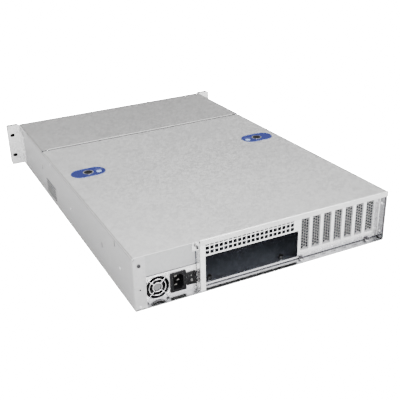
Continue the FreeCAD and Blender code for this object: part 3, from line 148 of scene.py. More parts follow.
def blend_colours(tree, factor, first, second, mode="MIX"):
    inputs = dict(zip(MIX_COLOUR_INPUTS, (factor, first, second)))
    node = add_node(tree, "ShaderNodeMix", inputs, data_type="RGBA", blend_type=mode)
    return node.outputs[MIX_COLOUR_OUTPUT]


def own_place(tree):
    """Where a point lies in its piece's own frame, which is the construction's frame."""
    return add_node(tree, "ShaderNodeTexCoord").outputs["Object"]


def split_axes(tree, vector):
    return add_node(tree, "ShaderNodeSeparateXYZ", {"Vector": vector}).outputs


def add_noise(tree, place, scale, detail, **more):
    inputs = {"Vector": place, "Scale": scale, "Detail": detail, **more}
    return add_node(tree, "ShaderNodeTexNoise", inputs).outputs


def new_group(name, inputs, outputs):
    """An empty node group, with the sockets inside it that give and take its values."""
    group = bpy.data.node_groups.new(name, "ShaderNodeTree")
    for label, value in inputs.items():
        socket = group.interface.new_socket(label, in_out="INPUT", socket_type="NodeSocketFloat")
        socket.default_value = value
    for label in outputs:
        group.interface.new_socket(label, in_out="OUTPUT", socket_type="NodeSocketFloat")
    given = group.nodes.new("NodeGroupInput").outputs
    result = group.nodes.new("NodeGroupOutput").inputs
    return group, given, result


# ---- Shared surface effects ---------------------------------------------------------------------
FINE_CRYSTALS = 260.0            # crystals to the metre
COARSE_CRYSTALS = 180.0
CRYSTAL_WARP = 3 * MM            # how far the crystals' borders are bent
HAIRLINE_TURNS = (0.35, -0.8, 1.3)
HAIRLINE_STRETCH = (1.0, 0.03, 1.0)
HAIRLINE_SPREAD = (0.66, 0.74)
RUB_SPREAD = (0.52, 0.72)


def make_spangle_group():
    """Zinc coating: faint flat crystals, a fine rolled grain and slow cloudiness."""
    group, given, result = new_group(
        "zinc spangle", {"Crystal size": FINE_CRYSTALS, "Grain size": 1500.0},
        ("Crystals", "Grain", "Cloud"))
    place = own_place(group)
    warp = add_noise(group, place, scale=300.0, detail=2.0)
    bent = add_node(group, "ShaderNodeVectorMath", {
        0: warp["Color"], 1: (CRYSTAL_WARP,) * 3, 2: place}, operation="MULTIPLY_ADD")
    crystals = add_node(group, "ShaderNodeTexVoronoi", {
        "Vector": bent.outputs[0], "Scale": given["Crystal size"]})
    tone = add_node(group, "ShaderNodeSeparateColor", {"Color": crystals.outputs["Color"]})
    grain = add_noise(group, place, given["Grain size"], detail=3.0, Roughness=0.65)
    cloud = add_noise(group, place, scale=7.0, detail=4.0)
    link(group, tone.outputs["Red"], result["Crystals"])
    link(group, grain["Fac"], result["Grain"])
    link(group, cloud["Fac"], result["Cloud"])
    return group


def make_mould_group():
    """Fine texture of moulded plastic, with slow sheen changes."""
    group, given, result = new_group("moulded grain", {"Grain size": 2200.0}, ("Grain", "Cloud"))
    place = own_place(group)
    grain = add_noise(group, place, given["Grain size"], detail=2.0)
    cloud = add_noise(group, place, scale=40.0, detail=3.0)
    link(group, grain["Fac"], result["Grain"])
    link(group, cloud["Fac"], result["Cloud"])
    return group


def make_edge_group():
    """Mask of the line along folds and sheared edges, where a highlight is painted."""
    group, given, result = new_group(
        "painted edge highlight", {"Width": 0.8 * MM, "Least turn": 0.03, "Full turn": 0.3}, ("Edges",))
    bevel = add_node(group, "ShaderNodeBevel", {"Radius": given["Width"]}, samples=4)
    normal = add_node(group, "ShaderNodeNewGeometry").outputs["Normal"]
    facing = add_node(group, "ShaderNodeVectorMath", {
        0: bevel.outputs["Normal"], 1: normal}, operation="DOT_PRODUCT")
    turned = maths(group, "SUBTRACT", 1.0, facing.outputs["Value"])
    edges = ramp(group, turned, given["Least turn"], given["Full turn"])
    link(group, edges, result["Edges"])
    return group


def make_painted_shade_group():
    """Masks of the closed interior and of the recess behind the rear panel up to a given height,
    where shade is painted into the colour."""
    inputs = {**INSIDE, "Recess front": INSIDE["Rear"], "Recess top": FLOOR_STRIP_TOP}
    group, given, result = new_group("painted inside shade", inputs, ("Inside", "Recess"))
    axes = split_axes(group, own_place(group))
    across = maths(group, "ABSOLUTE", axes["X"])
    within = maths(group, "LESS_THAN", across, given["Half width"])
    for mask, limits in (("Inside", (("GREATER_THAN", "Y", given["Front"]),
                                     ("LESS_THAN", "Y", given["Rear"]),
                                     ("GREATER_THAN", "Z", given["Floor"]),
                                     ("LESS_THAN", "Z", given["Ceiling"]))),
                         ("Recess", (("GREATER_THAN", "Y", given["Recess front"]),
                                     ("LESS_THAN", "Y", RECESS_REAR),
                                     ("LESS_THAN", "Z", given["Recess top"])))):
        tests = [maths(group, operation, axes[axis], limit) for operation, axis, limit in limits]
        link(group, join_masks(group, "MULTIPLY", [within, *tests]), result[mask])
    return group


def make_punched_group():
    """Mask of the walls of holes punched through a sheet that faces the rear, where shade is painted.
    """
    group, given, result = new_group("punched walls", {"Facing limit": 0.5}, ("Walls",))
    normal = add_node(group, "ShaderNodeNewGeometry").outputs["Normal"]
    facing = maths(group, "ABSOLUTE", split_axes(group, normal)["Y"])
    link(group, maths(group, "LESS_THAN", facing, given["Facing limit"]), result["Walls"])
    return group


def make_handling_group():
    """Faint rub marks and long hairlines from handling and stacking."""
    group, given, result = new_group("handling marks", {"Hairline size": 90.0}, ("Hairlines", "Rubs"))
    place = own_place(group)
    lines = []
    for turn in HAIRLINE_TURNS:
        turned = add_node(group, "ShaderNodeMapping", {
            "Vector": place, "Rotation": (0.0, 0.0, turn), "Scale": HAIRLINE_STRETCH})
        noise = add_noise(group, turned.outputs[0], given["Hairline size"], detail=6.0, Roughness=0.7)
        lines.append(ramp(group, noise["Fac"], *HAIRLINE_SPREAD))
    rubs = add_noise(group, place, scale=14.0, detail=6.0, Roughness=0.6, Distortion=0.6)
    link(group, join_masks(group, "MAXIMUM", lines), result["Hairlines"])
    link(group, ramp(group, rubs["Fac"], *RUB_SPREAD), result["Rubs"])
    return group


SPANGLE = make_spangle_group()
MOULD = make_mould_group()
EDGES = make_edge_group()
PAINTED_SHADE = make_painted_shade_group()
PUNCHED = make_punched_group()
HANDLING = make_handling_group()


# ---- Materials ----------------------------------------------------------------------------------
RUBBED = (0.42, 0.42, 0.42)
# tone of the highlight painted along folds and sheared edges
PAINTED_EDGE_HIGHLIGHT = (0.93, 0.93, 0.93)
# near-black shade painted on the walls of punched holes
PUNCHED_WALL_SHADE = (0.02, 0.02, 0.022)
CRYSTALS_IN_TONE = 0.45          # beside the clouds
TONE_SPREAD = (0.3, 1.1)
GRAIN_IN_GLOSS = 0.5             # beside the crystals
GLOSS_SPREAD = (0.2, 1.3)
HAIRLINE_SHINE = 0.08            # taken off the roughness
RECESS_ROUGHNESS = 0.55           # share of the roughness left in the recess behind the rear panel, where shade is painted
NOISE_SPREAD = (0.3, 0.7)        # where nearly all the values of plain noise lie
PLATED_DARK = 0.86               # darkest clouds as a share of the colour
MOULDED_DARK = 0.85
# width of the highlight painted along moulded edges
MOULDED_EDGE = 0.7 * MM
ZINC_RELIEF = (0.012, 0.4 * MM)  # strength and depth
MOULDED_DEPTH = 0.2 * MM


def spaced(values):
    """The values under the names of the sockets that they are for."""
    return {label.replace("_", " "): value for label, value in values.items()}


def new_material(name, **sockets):
    material = bpy.data.materials.new(name)
    material.use_nodes = True
    tree = material.node_tree
    shader = tree.nodes["Principled BSDF"]
    for label, value in spaced(sockets).items():
        shader.inputs[label].default_value = value
    return material, tree, shader


def place_group(tree, group, **values):
    """Places a shared effect with its own values, and gives its outputs."""
    return add_node(tree, "ShaderNodeGroup", spaced(values), node_tree=group).outputs


def add_relief(tree, shader, height, strength, depth):
    bump = add_node(tree, "ShaderNodeBump", {
        "Strength": strength, "Distance": depth, "Height": height})
    link(tree, bump.outputs["Normal"], shader.inputs["Normal"])


def zinc_sheet(name, light, dark, smooth, rough, crystal_size=FINE_CRYSTALS, edge_highlight=0.35,
               inner=(0.5, 0.54, 0.63), rub=0.1, recess_shade=(0.7, 0.7, 0.72), wall_shade=0.0, metal=0.9,
               **limits):
    """Zinc-coated steel; tone and gloss vary from crystal to crystal. Shade is painted inside,
    in the recess and on hole walls, and a highlight is painted along the edges.
    """
    material, tree, shader = new_material(name, Metallic=metal, IOR=2.2)
    zinc = place_group(tree, SPANGLE, Crystal_size=crystal_size)
    handled = place_group(tree, HANDLING)
    painted_shade = place_group(tree, PAINTED_SHADE, **limits)
    edges = place_group(tree, EDGES)
    punched = place_group(tree, PUNCHED)

    mixed = maths(tree, "MULTIPLY_ADD", zinc["Crystals"], CRYSTALS_IN_TONE, zinc["Cloud"])
    colour = blend_colours(tree, ramp(tree, mixed, *TONE_SPREAD), (*dark, 1), (*light, 1))
    # rub marks are wear; the edge tone is a painted highlight; the inside, hole-wall and recess tones
    # are painted shade
    for mask, tone, mode in ((maths(tree, "MULTIPLY", handled["Rubs"], rub), RUBBED, "MIX"),
                             (maths(tree, "MULTIPLY", edges["Edges"], edge_highlight), PAINTED_EDGE_HIGHLIGHT, "MIX"),
                             (painted_shade["Inside"], inner, "MULTIPLY"),
                             (maths(tree, "MULTIPLY", punched["Walls"], wall_shade), PUNCHED_WALL_SHADE, "MIX"),
                             (painted_shade["Recess"], recess_shade, "MULTIPLY")):
        colour = blend_colours(tree, mask, colour, (*tone, 1), mode)
    link(tree, colour, shader.inputs["Base Color"])

    gloss = maths(tree, "MULTIPLY_ADD", zinc["Grain"], GRAIN_IN_GLOSS, zinc["Crystals"])
    sheen = ramp(tree, gloss, *GLOSS_SPREAD, smooth, rough)
    shine = maths(tree, "MULTIPLY", handled["Hairlines"], HAIRLINE_SHINE)
    recess_smoothing = ramp(tree, painted_shade["Recess"], 0, 1, 1.0, RECESS_ROUGHNESS)
    roughness = maths(tree, "MULTIPLY", maths(tree, "SUBTRACT", sheen, shine), recess_smoothing)
    link(tree, roughness, shader.inputs["Roughness"])
    add_relief(tree, shader, zinc["Grain"], *ZINC_RELIEF)
    return material


def clouded(tree, cloud, colour, dark_share):
    """A colour that is darker in slow clouds."""
    darker = tuple(dark_share * c for c in colour)
    return blend_colours(tree, ramp(tree, cloud, *NOISE_SPREAD), (*darker, 1), (*colour, 1))


def plated(name, colour, smooth, rough):
    """Bright plating with fine swirls of handling marks."""
    material, tree, shader = new_material(name, Metallic=1.0)
    mould = place_group(tree, MOULD, Grain_size=900.0)
    link(tree, clouded(tree, mould["Cloud"], colour, PLATED_DARK), shader.inputs["Base Color"])
    roughness = ramp(tree, mould["Grain"], *NOISE_SPREAD, smooth, rough)
    link(tree, roughness, shader.inputs["Roughness"])
    return material


def moulded(name, colour, smooth, rough, relief=0.05, coat=0.0, gloss=0.35, edge_highlight=0.0,
            edge_highlight_tone=(0.5, 0.5, 0.5)):
    """Moulded plastic with a fine spark-eroded texture and a highlight painted along its edges."""
    material, tree, shader = new_material(name, Metallic=0.0, IOR=1.46, Coat_Weight=coat,
                                          Coat_Roughness=0.12, Specular_IOR_Level=gloss)
    mould = place_group(tree, MOULD)
    edges = place_group(tree, EDGES, Width=MOULDED_EDGE)
    mixed = clouded(tree, mould["Cloud"], colour, MOULDED_DARK)
    highlighted_edges = maths(tree, "MULTIPLY", edges["Edges"], edge_highlight)
    link(tree, blend_colours(tree, highlighted_edges, mixed, (*edge_highlight_tone, 1)), shader.inputs["Base Color"])
    roughness = ramp(tree, mould["Cloud"], *NOISE_SPREAD, smooth, rough)
    link(tree, roughness, shader.inputs["Roughness"])
    add_relief(tree, shader, mould["Grain"], relief, MOULDED_DEPTH)
    return material


def clear_lens(name, smooth, rough):
    material, tree, shader = new_material(name, Base_Color=(0.85, 0.92, 0.88, 1), IOR=1.49,
                                          Transmission_Weight=0.85)
    cloud = place_group(tree, MOULD, Grain_size=500.0)["Cloud"]
    link(tree, ramp(tree, cloud, *NOISE_SPREAD, smooth, rough), shader.inputs["Roughness"])
    return material


def make_materials():
    """Each finish by its short name: its tones, then its smoothest and roughest places."""
    return {
        # painted shade inside the pan, darker painted shade in the recess behind the rear panel
        "zinc": zinc_sheet("zinc sheet", (0.5, 0.5, 0.505), (0.4, 0.4, 0.405), 0.3, 0.45,
                           recess_shade=(0.3, 0.3, 0.315), Recess_top=PAN_BOX[1][2]),
        "zinc lid": zinc_sheet("zinc lid sheet", (0.72, 0.72, 0.715), (0.6, 0.6, 0.6), 0.34, 0.48,
                               rub=0.04),
        # below its top face, in the seam and underneath, the front cover carries dark painted shade
        "zinc cover": zinc_sheet("zinc front cover sheet", (0.55, 0.548, 0.545),
                                 (0.45, 0.448, 0.445), 0.34, 0.48, rub=0.04,
                                 inner=(0.2, 0.2, 0.2), Ceiling=LID_TOP - 0.1 * MM),
        "zinc plate": zinc_sheet("zinc closing plate", (0.44, 0.445, 0.45), (0.36, 0.365, 0.37),
                                 0.3, 0.45),
        "zinc bright": zinc_sheet("bright zinc sheet", (0.93, 0.93, 0.93), (0.8, 0.8, 0.8),
                                  0.2, 0.34, crystal_size=COARSE_CRYSTALS, edge_highlight=0.5),
        # the hole walls and the covers' front faces carry painted shade
        "zinc slot cover": zinc_sheet("slot cover sheet", (0.33, 0.33, 0.335), (0.26, 0.26, 0.265),
                                      0.24, 0.38, crystal_size=COARSE_CRYSTALS, edge_highlight=0.0, rub=0.0,
                                      wall_shade=0.97, Rear=COVERS_REAR),
        # painted shade on the rear panel behind its rear face, in its return walls
        "zinc panel": zinc_sheet("rear panel sheet", (0.93, 0.93, 0.93), (0.8, 0.8, 0.8),
                                 0.2, 0.34, crystal_size=COARSE_CRYSTALS, edge_highlight=0.4,
                                 recess_shade=(0.26, 0.26, 0.275), Recess_front=PANEL_FACE + 0.8 * MM,
                                 Recess_top=PAN_BOX[1][2]),
        "zinc ear": zinc_sheet("zinc ear plate", (0.98, 0.98, 0.98), (0.9, 0.9, 0.9), 0.2, 0.3,
                               crystal_size=COARSE_CRYSTALS, edge_highlight=0.3, metal=0.2),
        # painted shade covers these pieces inside the case
        "zinc inner": zinc_sheet("inner zinc sheet with painted shade", (0.66, 0.66, 0.66), (0.5, 0.5, 0.5),
                                 0.4, 0.55, inner=(0.36, 0.39, 0.47)),
        "bright": plated("bright plating", (0.86, 0.86, 0.87), 0.14, 0.28),
        "nickel": plated("dull nickel", (0.2, 0.195, 0.185), 0.25, 0.4),
        "black oxide": plated("black oxide", (0.07, 0.07, 0.072), 0.25, 0.42),
        # the paler blue along the latch rims is a painted highlight
        "blue": moulded("blue latch plastic", (0.006, 0.015, 0.15), 0.2, 0.3, relief=0.03,
                        coat=0.1, gloss=0.2, edge_highlight=0.7, edge_highlight_tone=(0.3, 0.42, 0.85)),
        # a glossy raised pip; its pale blue colour is a painted highlight
        "painted highlight blue": moulded("thumb pip with painted highlight", (0.3, 0.46, 0.85), 0.1, 0.16, relief=0.01,
                             coat=0.6, gloss=0.6),
        # a faint grey highlight is painted along the edges of black parts
        "black": moulded("black moulded plastic", (0.006, 0.006, 0.007), 0.42, 0.55, gloss=0.12,
                         edge_highlight=0.06),
        "rocker": moulded("rocker plastic", (0.005, 0.005, 0.006), 0.34, 0.44, relief=0.02,
                          gloss=0.12),
        "rubber": moulded("black rubber", (0.004, 0.004, 0.004), 0.6, 0.7, relief=0.1, gloss=0.1),
        "clear": clear_lens("clear lens", 0.08, 0.16),
        "label": moulded("silver label", (0.13, 0.13, 0.135), 0.28, 0.4, relief=0.02, gloss=0.4),
        "mark": moulded("white mark", (0.3, 0.3, 0.29), 0.4, 0.55),
    }


MATERIALS = make_materials()


def dress(name, *nodes):
    for node in nodes:
        for slot in NODES[node].material_slots:
            slot.material = MATERIALS[name]


def dress_nodes():
    """Gives each construction piece its finish."""
    dress("zinc", "chassis_pan", "front_panel")
    dress("zinc plate", "psu_blank_plate")
    dress("zinc inner", "fan_wall", "drive_shelf")
    dress("zinc lid", "top_lid")
    dress("zinc cover", "front_cover")
    dress("zinc panel", "rear_panel")
    dress("zinc bright", "psu_divider", "psu_housing")
    dress("zinc ear", "rack_ear_left", "rack_ear_right")
    dress("zinc slot cover", *SLOT_COVERS)
    dress("bright", "slot_cover_screws", "rack_ear_screws", "latch_collars", "psu_fan_guard",
          "chassis_rivets", "psu_fan_screws", "ear_cap_screws")
    dress("nickel", "inlet_pins", "board_standoffs")
    dress("black oxide", "case_screws")
    dress("blue", "latch_housing_left", "latch_housing_right")
    dress("black", "latch_button_left", "latch_button_right", "power_inlet", "power_switch_frame",
          "power_button", "reset_button", "ear_cap_left", "ear_cap_right", *FAN_FRAMES, *FAN_ROTORS)
    dress("rocker", "power_switch_rocker")
    dress("clear", "indicator_lenses")


dress_nodes()


# ---- Pieces made here ---------------------------------------------------------------------------
SHARP_ANGLE = 38.0               # a fold of more degrees than this shows as an edge


def new_object(name, data):
    made = bpy.data.objects.new(name, data)
    bpy.context.scene.collection.objects.link(made)
    return made


def new_piece(name, shape, material, body, slot, *replaced):
    """Turns a bmesh into a piece that rides on a body and may stand for construction nodes."""
    bmesh.ops.recalc_face_normals(shape, faces=shape.faces)
    mesh = bpy.data.meshes.new(name)
    shape.to_mesh(mesh)
    shape.free()
    mesh.shade_smooth()
    mesh.set_sharp_from_angle(angle=math.radians(SHARP_ANGLE))
    mesh.materials.append(MATERIALS[material])
    piece = new_object(name, mesh)
    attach(piece, body)
    if replaced:
        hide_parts(*replaced)
    return piece


def circle(radius, height, sides):
    """Points of a circle about Z."""
    turns = [2 * math.pi * k / sides for k in range(sides)]
    return [(radius * math.cos(a), radius * math.sin(a), height) for a in turns]


def join_loops(shape, loops):
    """Faces between each loop of vertices and the next."""
    for first, second in zip(loops, loops[1:]):
        for k, vertex in enumerate(first):
            n = (k + 1) % len(first)
            shape.faces.new((vertex, first[n], second[n], second[k]))


def add_turned(shape, move, tip, rings):
    """A solid from a tip on Z through rings of points to a flat end, moved into place."""
    loops = [[shape.verts.new(move @ Vector(p)) for p in ring] for ring in rings]
    centre = shape.verts.new(move @ Vector((0, 0, tip)))
    for k, vertex in enumerate(loops[0]):
        shape.faces.new((centre, vertex, loops[0][(k + 1) % len(loops[0])]))
    join_loops(shape, loops)
    shape.faces.new(loops[-1])


# Screws: sizes with no unit are shares of the head's radius or height, or of the shank's radius.
WELD = 0.001 * MM
RIM_REACH = 0.97                 # points farther out than this belong to the head's rim
SHORTEST_SHANK = 1.0 * MM
SCREW_SIDES = 56
DOME_RINGS = 14
DOME_RADIUS = 0.94
DOME_FALL = 0.34                 # at the head's rim
HEAD_RIM = ((0.99, 0.52), (1.0, 0.4), (1.0, 0.0))      # radius and height
HEAD_BACK = 0.5                  # radius of the innermost ring behind a head with no shank
CROSS_ARM = 0.62                 # length of a recess arm
CROSS_WIDTH = 0.17               # half width of an arm
CROSS_WIDENING = 1.15            # of an arm at the middle of the cross
CROSS_NARROWING = 0.35           # from there to the arm's end
CROSS_SIDE_RUN = 0.07            # width of the sloping walls along an arm
CROSS_END_RUN = 0.12             # and at its end
CROSS_DEPTH = 0.75
THREAD_PITCH = 0.8 * MM
THREAD_ROOT = 0.86
SHANK_END = 0.6
SPIN_STEP = 0.9                  # radians from one screw's cross to the next


def solids_of(node):
    """The separate solids of a construction node, each as a list of points."""
    shape = bmesh.new()
    shape.from_mesh(NODES[node].data)
    bmesh.ops.remove_doubles(shape, verts=shape.verts, dist=WELD)
    left = set(shape.verts)
    solids = []
    while left:
        found = set()
        waiting = [next(v for v in shape.verts if v in left)]
        while waiting:
            vertex = waiting.pop()
            if vertex in left:
                left.discard(vertex)
                found.add(vertex)
                waiting += [e.other_vert(vertex) for e in vertex.link_edges]
        solids.append([v.co.copy() for v in found])
    shape.free()
    return solids


def screw_measures(points):
    """Where a screw's head seats, the way it faces, and its head and shank sizes."""
    low = Vector([min(p[i] for p in points) for i in range(3)])
    high = Vector([max(p[i] for p in points) for i in range(3)])
    size = high - low
    axis = min(range(3), key=lambda i: abs(size[(i + 1) % 3] - size[(i + 2) % 3]))
    middle = (low + high) / 2
    across = [(axis + 1) % 3, (axis + 2) % 3]
    radius = size[across[0]] / 2

    def reach(p):
        return math.hypot(*(p[i] - middle[i] for i in across))

    rim = [p[axis] for p in points if reach(p) > RIM_REACH * radius]
    facing = 1 if sum(rim) / len(rim) > middle[axis] else -1
    if size[axis] < radius:
        facing = 1 if middle[axis] > 0 else -1
    seat = min(rim) if facing > 0 else max(rim)
    tip = high[axis] if facing > 0 else low[axis]
    end = low[axis] if facing > 0 else high[axis]
    inner = [reach(p) for p in points if abs(p[axis] - end) < 10 * WELD]
    place = middle.copy()
    place[axis] = seat
    direction = Vector((0, 0, 0))
    direction[axis] = facing
    length = abs(seat - end)
    shank = max(inner) if length > SHORTEST_SHANK else 0
    return place, direction, radius, abs(tip - seat), shank, length


def recess_depth(x, y, radius):
    """Share of the full depth of a cross recess at a point of the head."""
    arm = CROSS_ARM * radius
    best = 0.0
    for along, off in ((abs(x), abs(y)), (abs(y), abs(x))):
        half = CROSS_WIDTH * radius * (CROSS_WIDENING - CROSS_NARROWING * along / arm)
        side = max(0.0, min(1.0, (half - off) / (CROSS_SIDE_RUN * radius)))
        end = max(0.0, min(1.0, (arm - along) / (CROSS_END_RUN * radius)))
        best = max(best, side * end)
    return best


def add_screw(shape, measures, spin):
    """A domed head with a cross recess, on a threaded shank."""
    place, direction, radius, height, shank, length = measures
    turn = direction.to_track_quat("Z", "Y").to_matrix().to_4x4()
    move = Matrix.Translation(place) @ turn @ Matrix.Rotation(spin, 4, "Z")
    depth = CROSS_DEPTH * height
    rings = []
    for i in range(1, DOME_RINGS + 1):
        r = radius * DOME_RADIUS * i / DOME_RINGS
        dome = height * (1 - DOME_FALL * (r / radius) ** 2)
        rings.append([(x, y, z - depth * recess_depth(x, y, radius))
                      for x, y, z in circle(r, dome, SCREW_SIDES)])
    profile = [(radius * r, height * z) for r, z in HEAD_RIM]
    if shank:
        turns = int(length / THREAD_PITCH * 2)        # half turns: a crest and a root by turns
        profile.append((shank, 0.0))
        for i in range(turns):
            share = THREAD_ROOT if i % 2 else 1.0
            profile.append((shank * share, -length * (i + 1) / (turns + 1)))
        profile.append((shank * SHANK_END, -length))
    else:
        profile.append((radius * HEAD_BACK, 0.0))
    rings += [circle(r, z, SCREW_SIDES) for r, z in profile]
    add_turned(shape, move, height - depth, rings)


def add_crossed_screws():
    """Screws with cross recesses in place of the plain heads."""
    for node, finish, slot in (("slot_cover_screws", "bright", "bright_steel"),
                               ("rack_ear_screws", "bright", "bright_steel"),
                               ("ear_cap_screws", "bright", "bright_steel"),
                               ("psu_fan_screws", "bright", "black_steel"),
                               ("case_screws", "black oxide", "black_steel")):
        shape = bmesh.new()
        for index, points in enumerate(solids_of(node)):
            add_screw(shape, screw_measures(points), SPIN_STEP * index)
        new_piece(node.replace("screws", "crossed_screws"), shape, finish, "chassis", slot, node)


# Labels on the fans
LABEL_THICKNESS = 0.15 * MM
LABEL_SHARE = 0.145              # radius of a fan's label as a share of its frame
LABEL_BEVEL = 0.05 * MM
LABEL_SIDES = 72


def add_disc(shape, centre, radii, ends, sides, bevel):
    """A thin disc across Y with a softened rim at its rear end, and a hole if asked."""
    hole, radius = radii
    low, high = ends
    profile = [(radius, low), (radius, high - bevel), (radius - bevel, high)]
    if hole:
        profile = [(hole, low), *profile, (hole, high)]
    loops = []
    for r, y in profile:
        loops.append([shape.verts.new((centre[0] + u, y, centre[1] + w))
                      for u, w, y in circle(r, y, sides)])
    if hole:
        join_loops(shape, loops + loops[:1])
    else:
        join_loops(shape, loops)
        shape.faces.new(loops[0])
        shape.faces.new(loops[-1])


def add_fan_labels():
    """Plain silver discs on the fans' motor seats."""
    for node in FAN_FRAMES:
        low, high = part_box(node)
        centre = ((low[0] + high[0]) / 2, (low[2] + high[2]) / 2)
        radius = LABEL_SHARE * (high[0] - low[0])
        ends = (high[1], high[1] + LABEL_THICKNESS)
        shape = bmesh.new()
        add_disc(shape, centre, (0.0, radius), ends, LABEL_SIDES, LABEL_BEVEL)
        new_piece(node.replace("frame", "label"), shape, "label", "chassis", "bright_steel")


# Lips in the ears' slots
SLOT_END_STEPS = 12              # along each round end of a slot
FLAP_THICKNESS = 0.8 * MM
FLAP_SLIT = (7.0 * MM, 0.24 * MM)


def obround(length, height):
    """Points of a slot outline with round ends, about the origin."""
    radius = height / 2
    reach = length / 2 - radius
    points = []
    for side in (1, -1):
        for i in range(SLOT_END_STEPS + 1):
            a = -math.pi / 2 + math.pi * i / SLOT_END_STEPS
            points.append((side * (reach + radius * math.cos(a)), side * radius * math.sin(a)))
    return points


def add_ear_slot_lips():
    """Soft black lips in the ears' slots, slit along the middle."""
    mount = next(m for m in frame["record"]["mounts"] if m["name"] == "rack_ears")
    dims = mount["dims"]
    slot_outline = obround(dims["slot_length_mm"] * MM, 2 * dims["hole_r_mm"] * MM)
    slit_outline = obround(*FLAP_SLIT)
    low_y, high_y = (corner[1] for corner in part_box("ear_cap_right"))
    front = (low_y + high_y) / 2
    rear = front + FLAP_THICKNESS
    shape = bmesh.new()
    for a in (-1, 1):
        for b in (-1, 1):
            x = a * dims["spacing_x_mm"] * MM / 2
            z = mount["pos_m"][2] + b * dims["spacing_y_mm"] * MM / 2
            loops = []
            for outline, y in ((slot_outline, front), (slit_outline, front), (slit_outline, rear),
                               (slot_outline, rear)):
                loops.append([shape.verts.new((x + u, y, z + w)) for u, w in outline])
            join_loops(shape, loops + loops[:1])
    new_piece("ear_slot_lips", shape, "rubber", "chassis", "black_plastic")


# Raised pips in the latches' thumb dimples
PIP_RADIUS = 5.2 * MM
PIP_HEIGHT = 1.3 * MM
PIP_OFFSET = 19.5 * MM           # from the middle of the latch's button
PIP_FALL = 0.96                  # at 1, the pip would be half an ellipsoid
PIP_RINGS = 8
PIP_SIDES = 48
LATCH_FACE_DROP = 0.6 * MM       # from the latch's rim to its face
DIMPLE_DEPTH = 1.6 * MM


def add_thumb_pips():
    """A polished raised pip in each latch's thumb dimple; its pale blue colour is a painted
    highlight.
    """
    shares = [i / PIP_RINGS for i in range(1, PIP_RINGS + 1)]
    rings = [circle(PIP_RADIUS * share, PIP_HEIGHT * math.sqrt(1 - PIP_FALL * share ** 2), PIP_SIDES)
             for share in shares]
    rings.append(circle(PIP_RADIUS, 0.0, PIP_SIDES))
    for side in ("left", "right"):
        low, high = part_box(f"latch_button_{side}")
        rim_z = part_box(f"latch_housing_{side}")[1][2]
        base = rim_z - LATCH_FACE_DROP - DIMPLE_DEPTH
        x = (low[0] + high[0]) / 2
        centre = (x - math.copysign(PIP_OFFSET, x), (low[1] + high[1]) / 2, base)
        shape = bmesh.new()
        add_turned(shape, Matrix.Translation(centre), PIP_HEIGHT, rings)
        new_piece(f"latch_thumb_pip_{side}", shape, "painted highlight blue", "lid", "blue_plastic")


# Marks on the rocker
ROCKER_TILT = 9.0                # degrees at rest
ROCKER_FACE_OUT = 4.9 * MM       # from the rocker's pivot to the middle of a face
ROCKER_FACE_UP = 3.45 * MM
ROCKER_FACE_SLOPE = 11.5         # degrees between a face and the rocker's back
MARK_HEIGHT = 0.1 * MM
BAR_SIZE = (0.7 * MM, 3.0 * MM)
BAR_ROUNDING = 0.3 * MM
RING_RADII = (1.15 * MM, 1.6 * MM)
RING_BEVEL = 0.02 * MM
RING_SIDES = 48


def add_bar(shape):
    """A flat bar across Y with rounded corners."""
    bmesh.ops.create_cube(shape, size=1.0)
    bmesh.ops.scale(shape, vec=(BAR_SIZE[0], MARK_HEIGHT, BAR_SIZE[1]), verts=shape.verts)
    corners = [e for e in shape.edges if abs(e.verts[0].co.y - e.verts[1].co.y) > MARK_HEIGHT / 2]
    bmesh.ops.bevel(shape, geom=corners, offset=BAR_ROUNDING, segments=4, affect="EDGES")


def add_ring(shape):
    add_disc(shape, (0, 0), RING_RADII, (-MARK_HEIGHT / 2, MARK_HEIGHT / 2), RING_SIDES, RING_BEVEL)


def add_rocker_marks():
    """A bar and a ring on the two faces of the rocker."""
    joint = next(j for j in frame["record"]["behaviour"]["joints"] if j["name"] == "rocker_tip")
    tilted = Matrix.Translation(joint["pos_m"]) @ Matrix.Rotation(math.radians(ROCKER_TILT), 4, "X")
    for name, add_mark, end in (("rocker_bar_mark", add_bar, 1),
                                ("rocker_ring_mark", add_ring, -1)):
        shape = bmesh.new()
        add_mark(shape)
        slope = Matrix.Rotation(math.radians(-end * ROCKER_FACE_SLOPE), 4, "X")
        place = Matrix.Translation((0, ROCKER_FACE_OUT, end * ROCKER_FACE_UP))
        bmesh.ops.transform(shape, matrix=tilted @ place @ slope, verts=shape.verts)
        new_piece(name, shape, "mark", "rocker", "black_plastic")


# Black strip on the front cover's flange, a dark piece that paints shade into the seam gap
SHADE_STRIP_DEPTH = 2.0 * MM
SHADE_STRIP_HEIGHT = 3.0 * MM
SHADE_STRIP_FROM_SIDE = 3.0 * MM
SHADE_STRIP_FROM_TOP = 3.5 * MM         # the strip's underside, from the lid's top
SHADE_STRIP_ROUND_STEPS = 8
SHADE_STRIP_HALF_STATIONS = 20


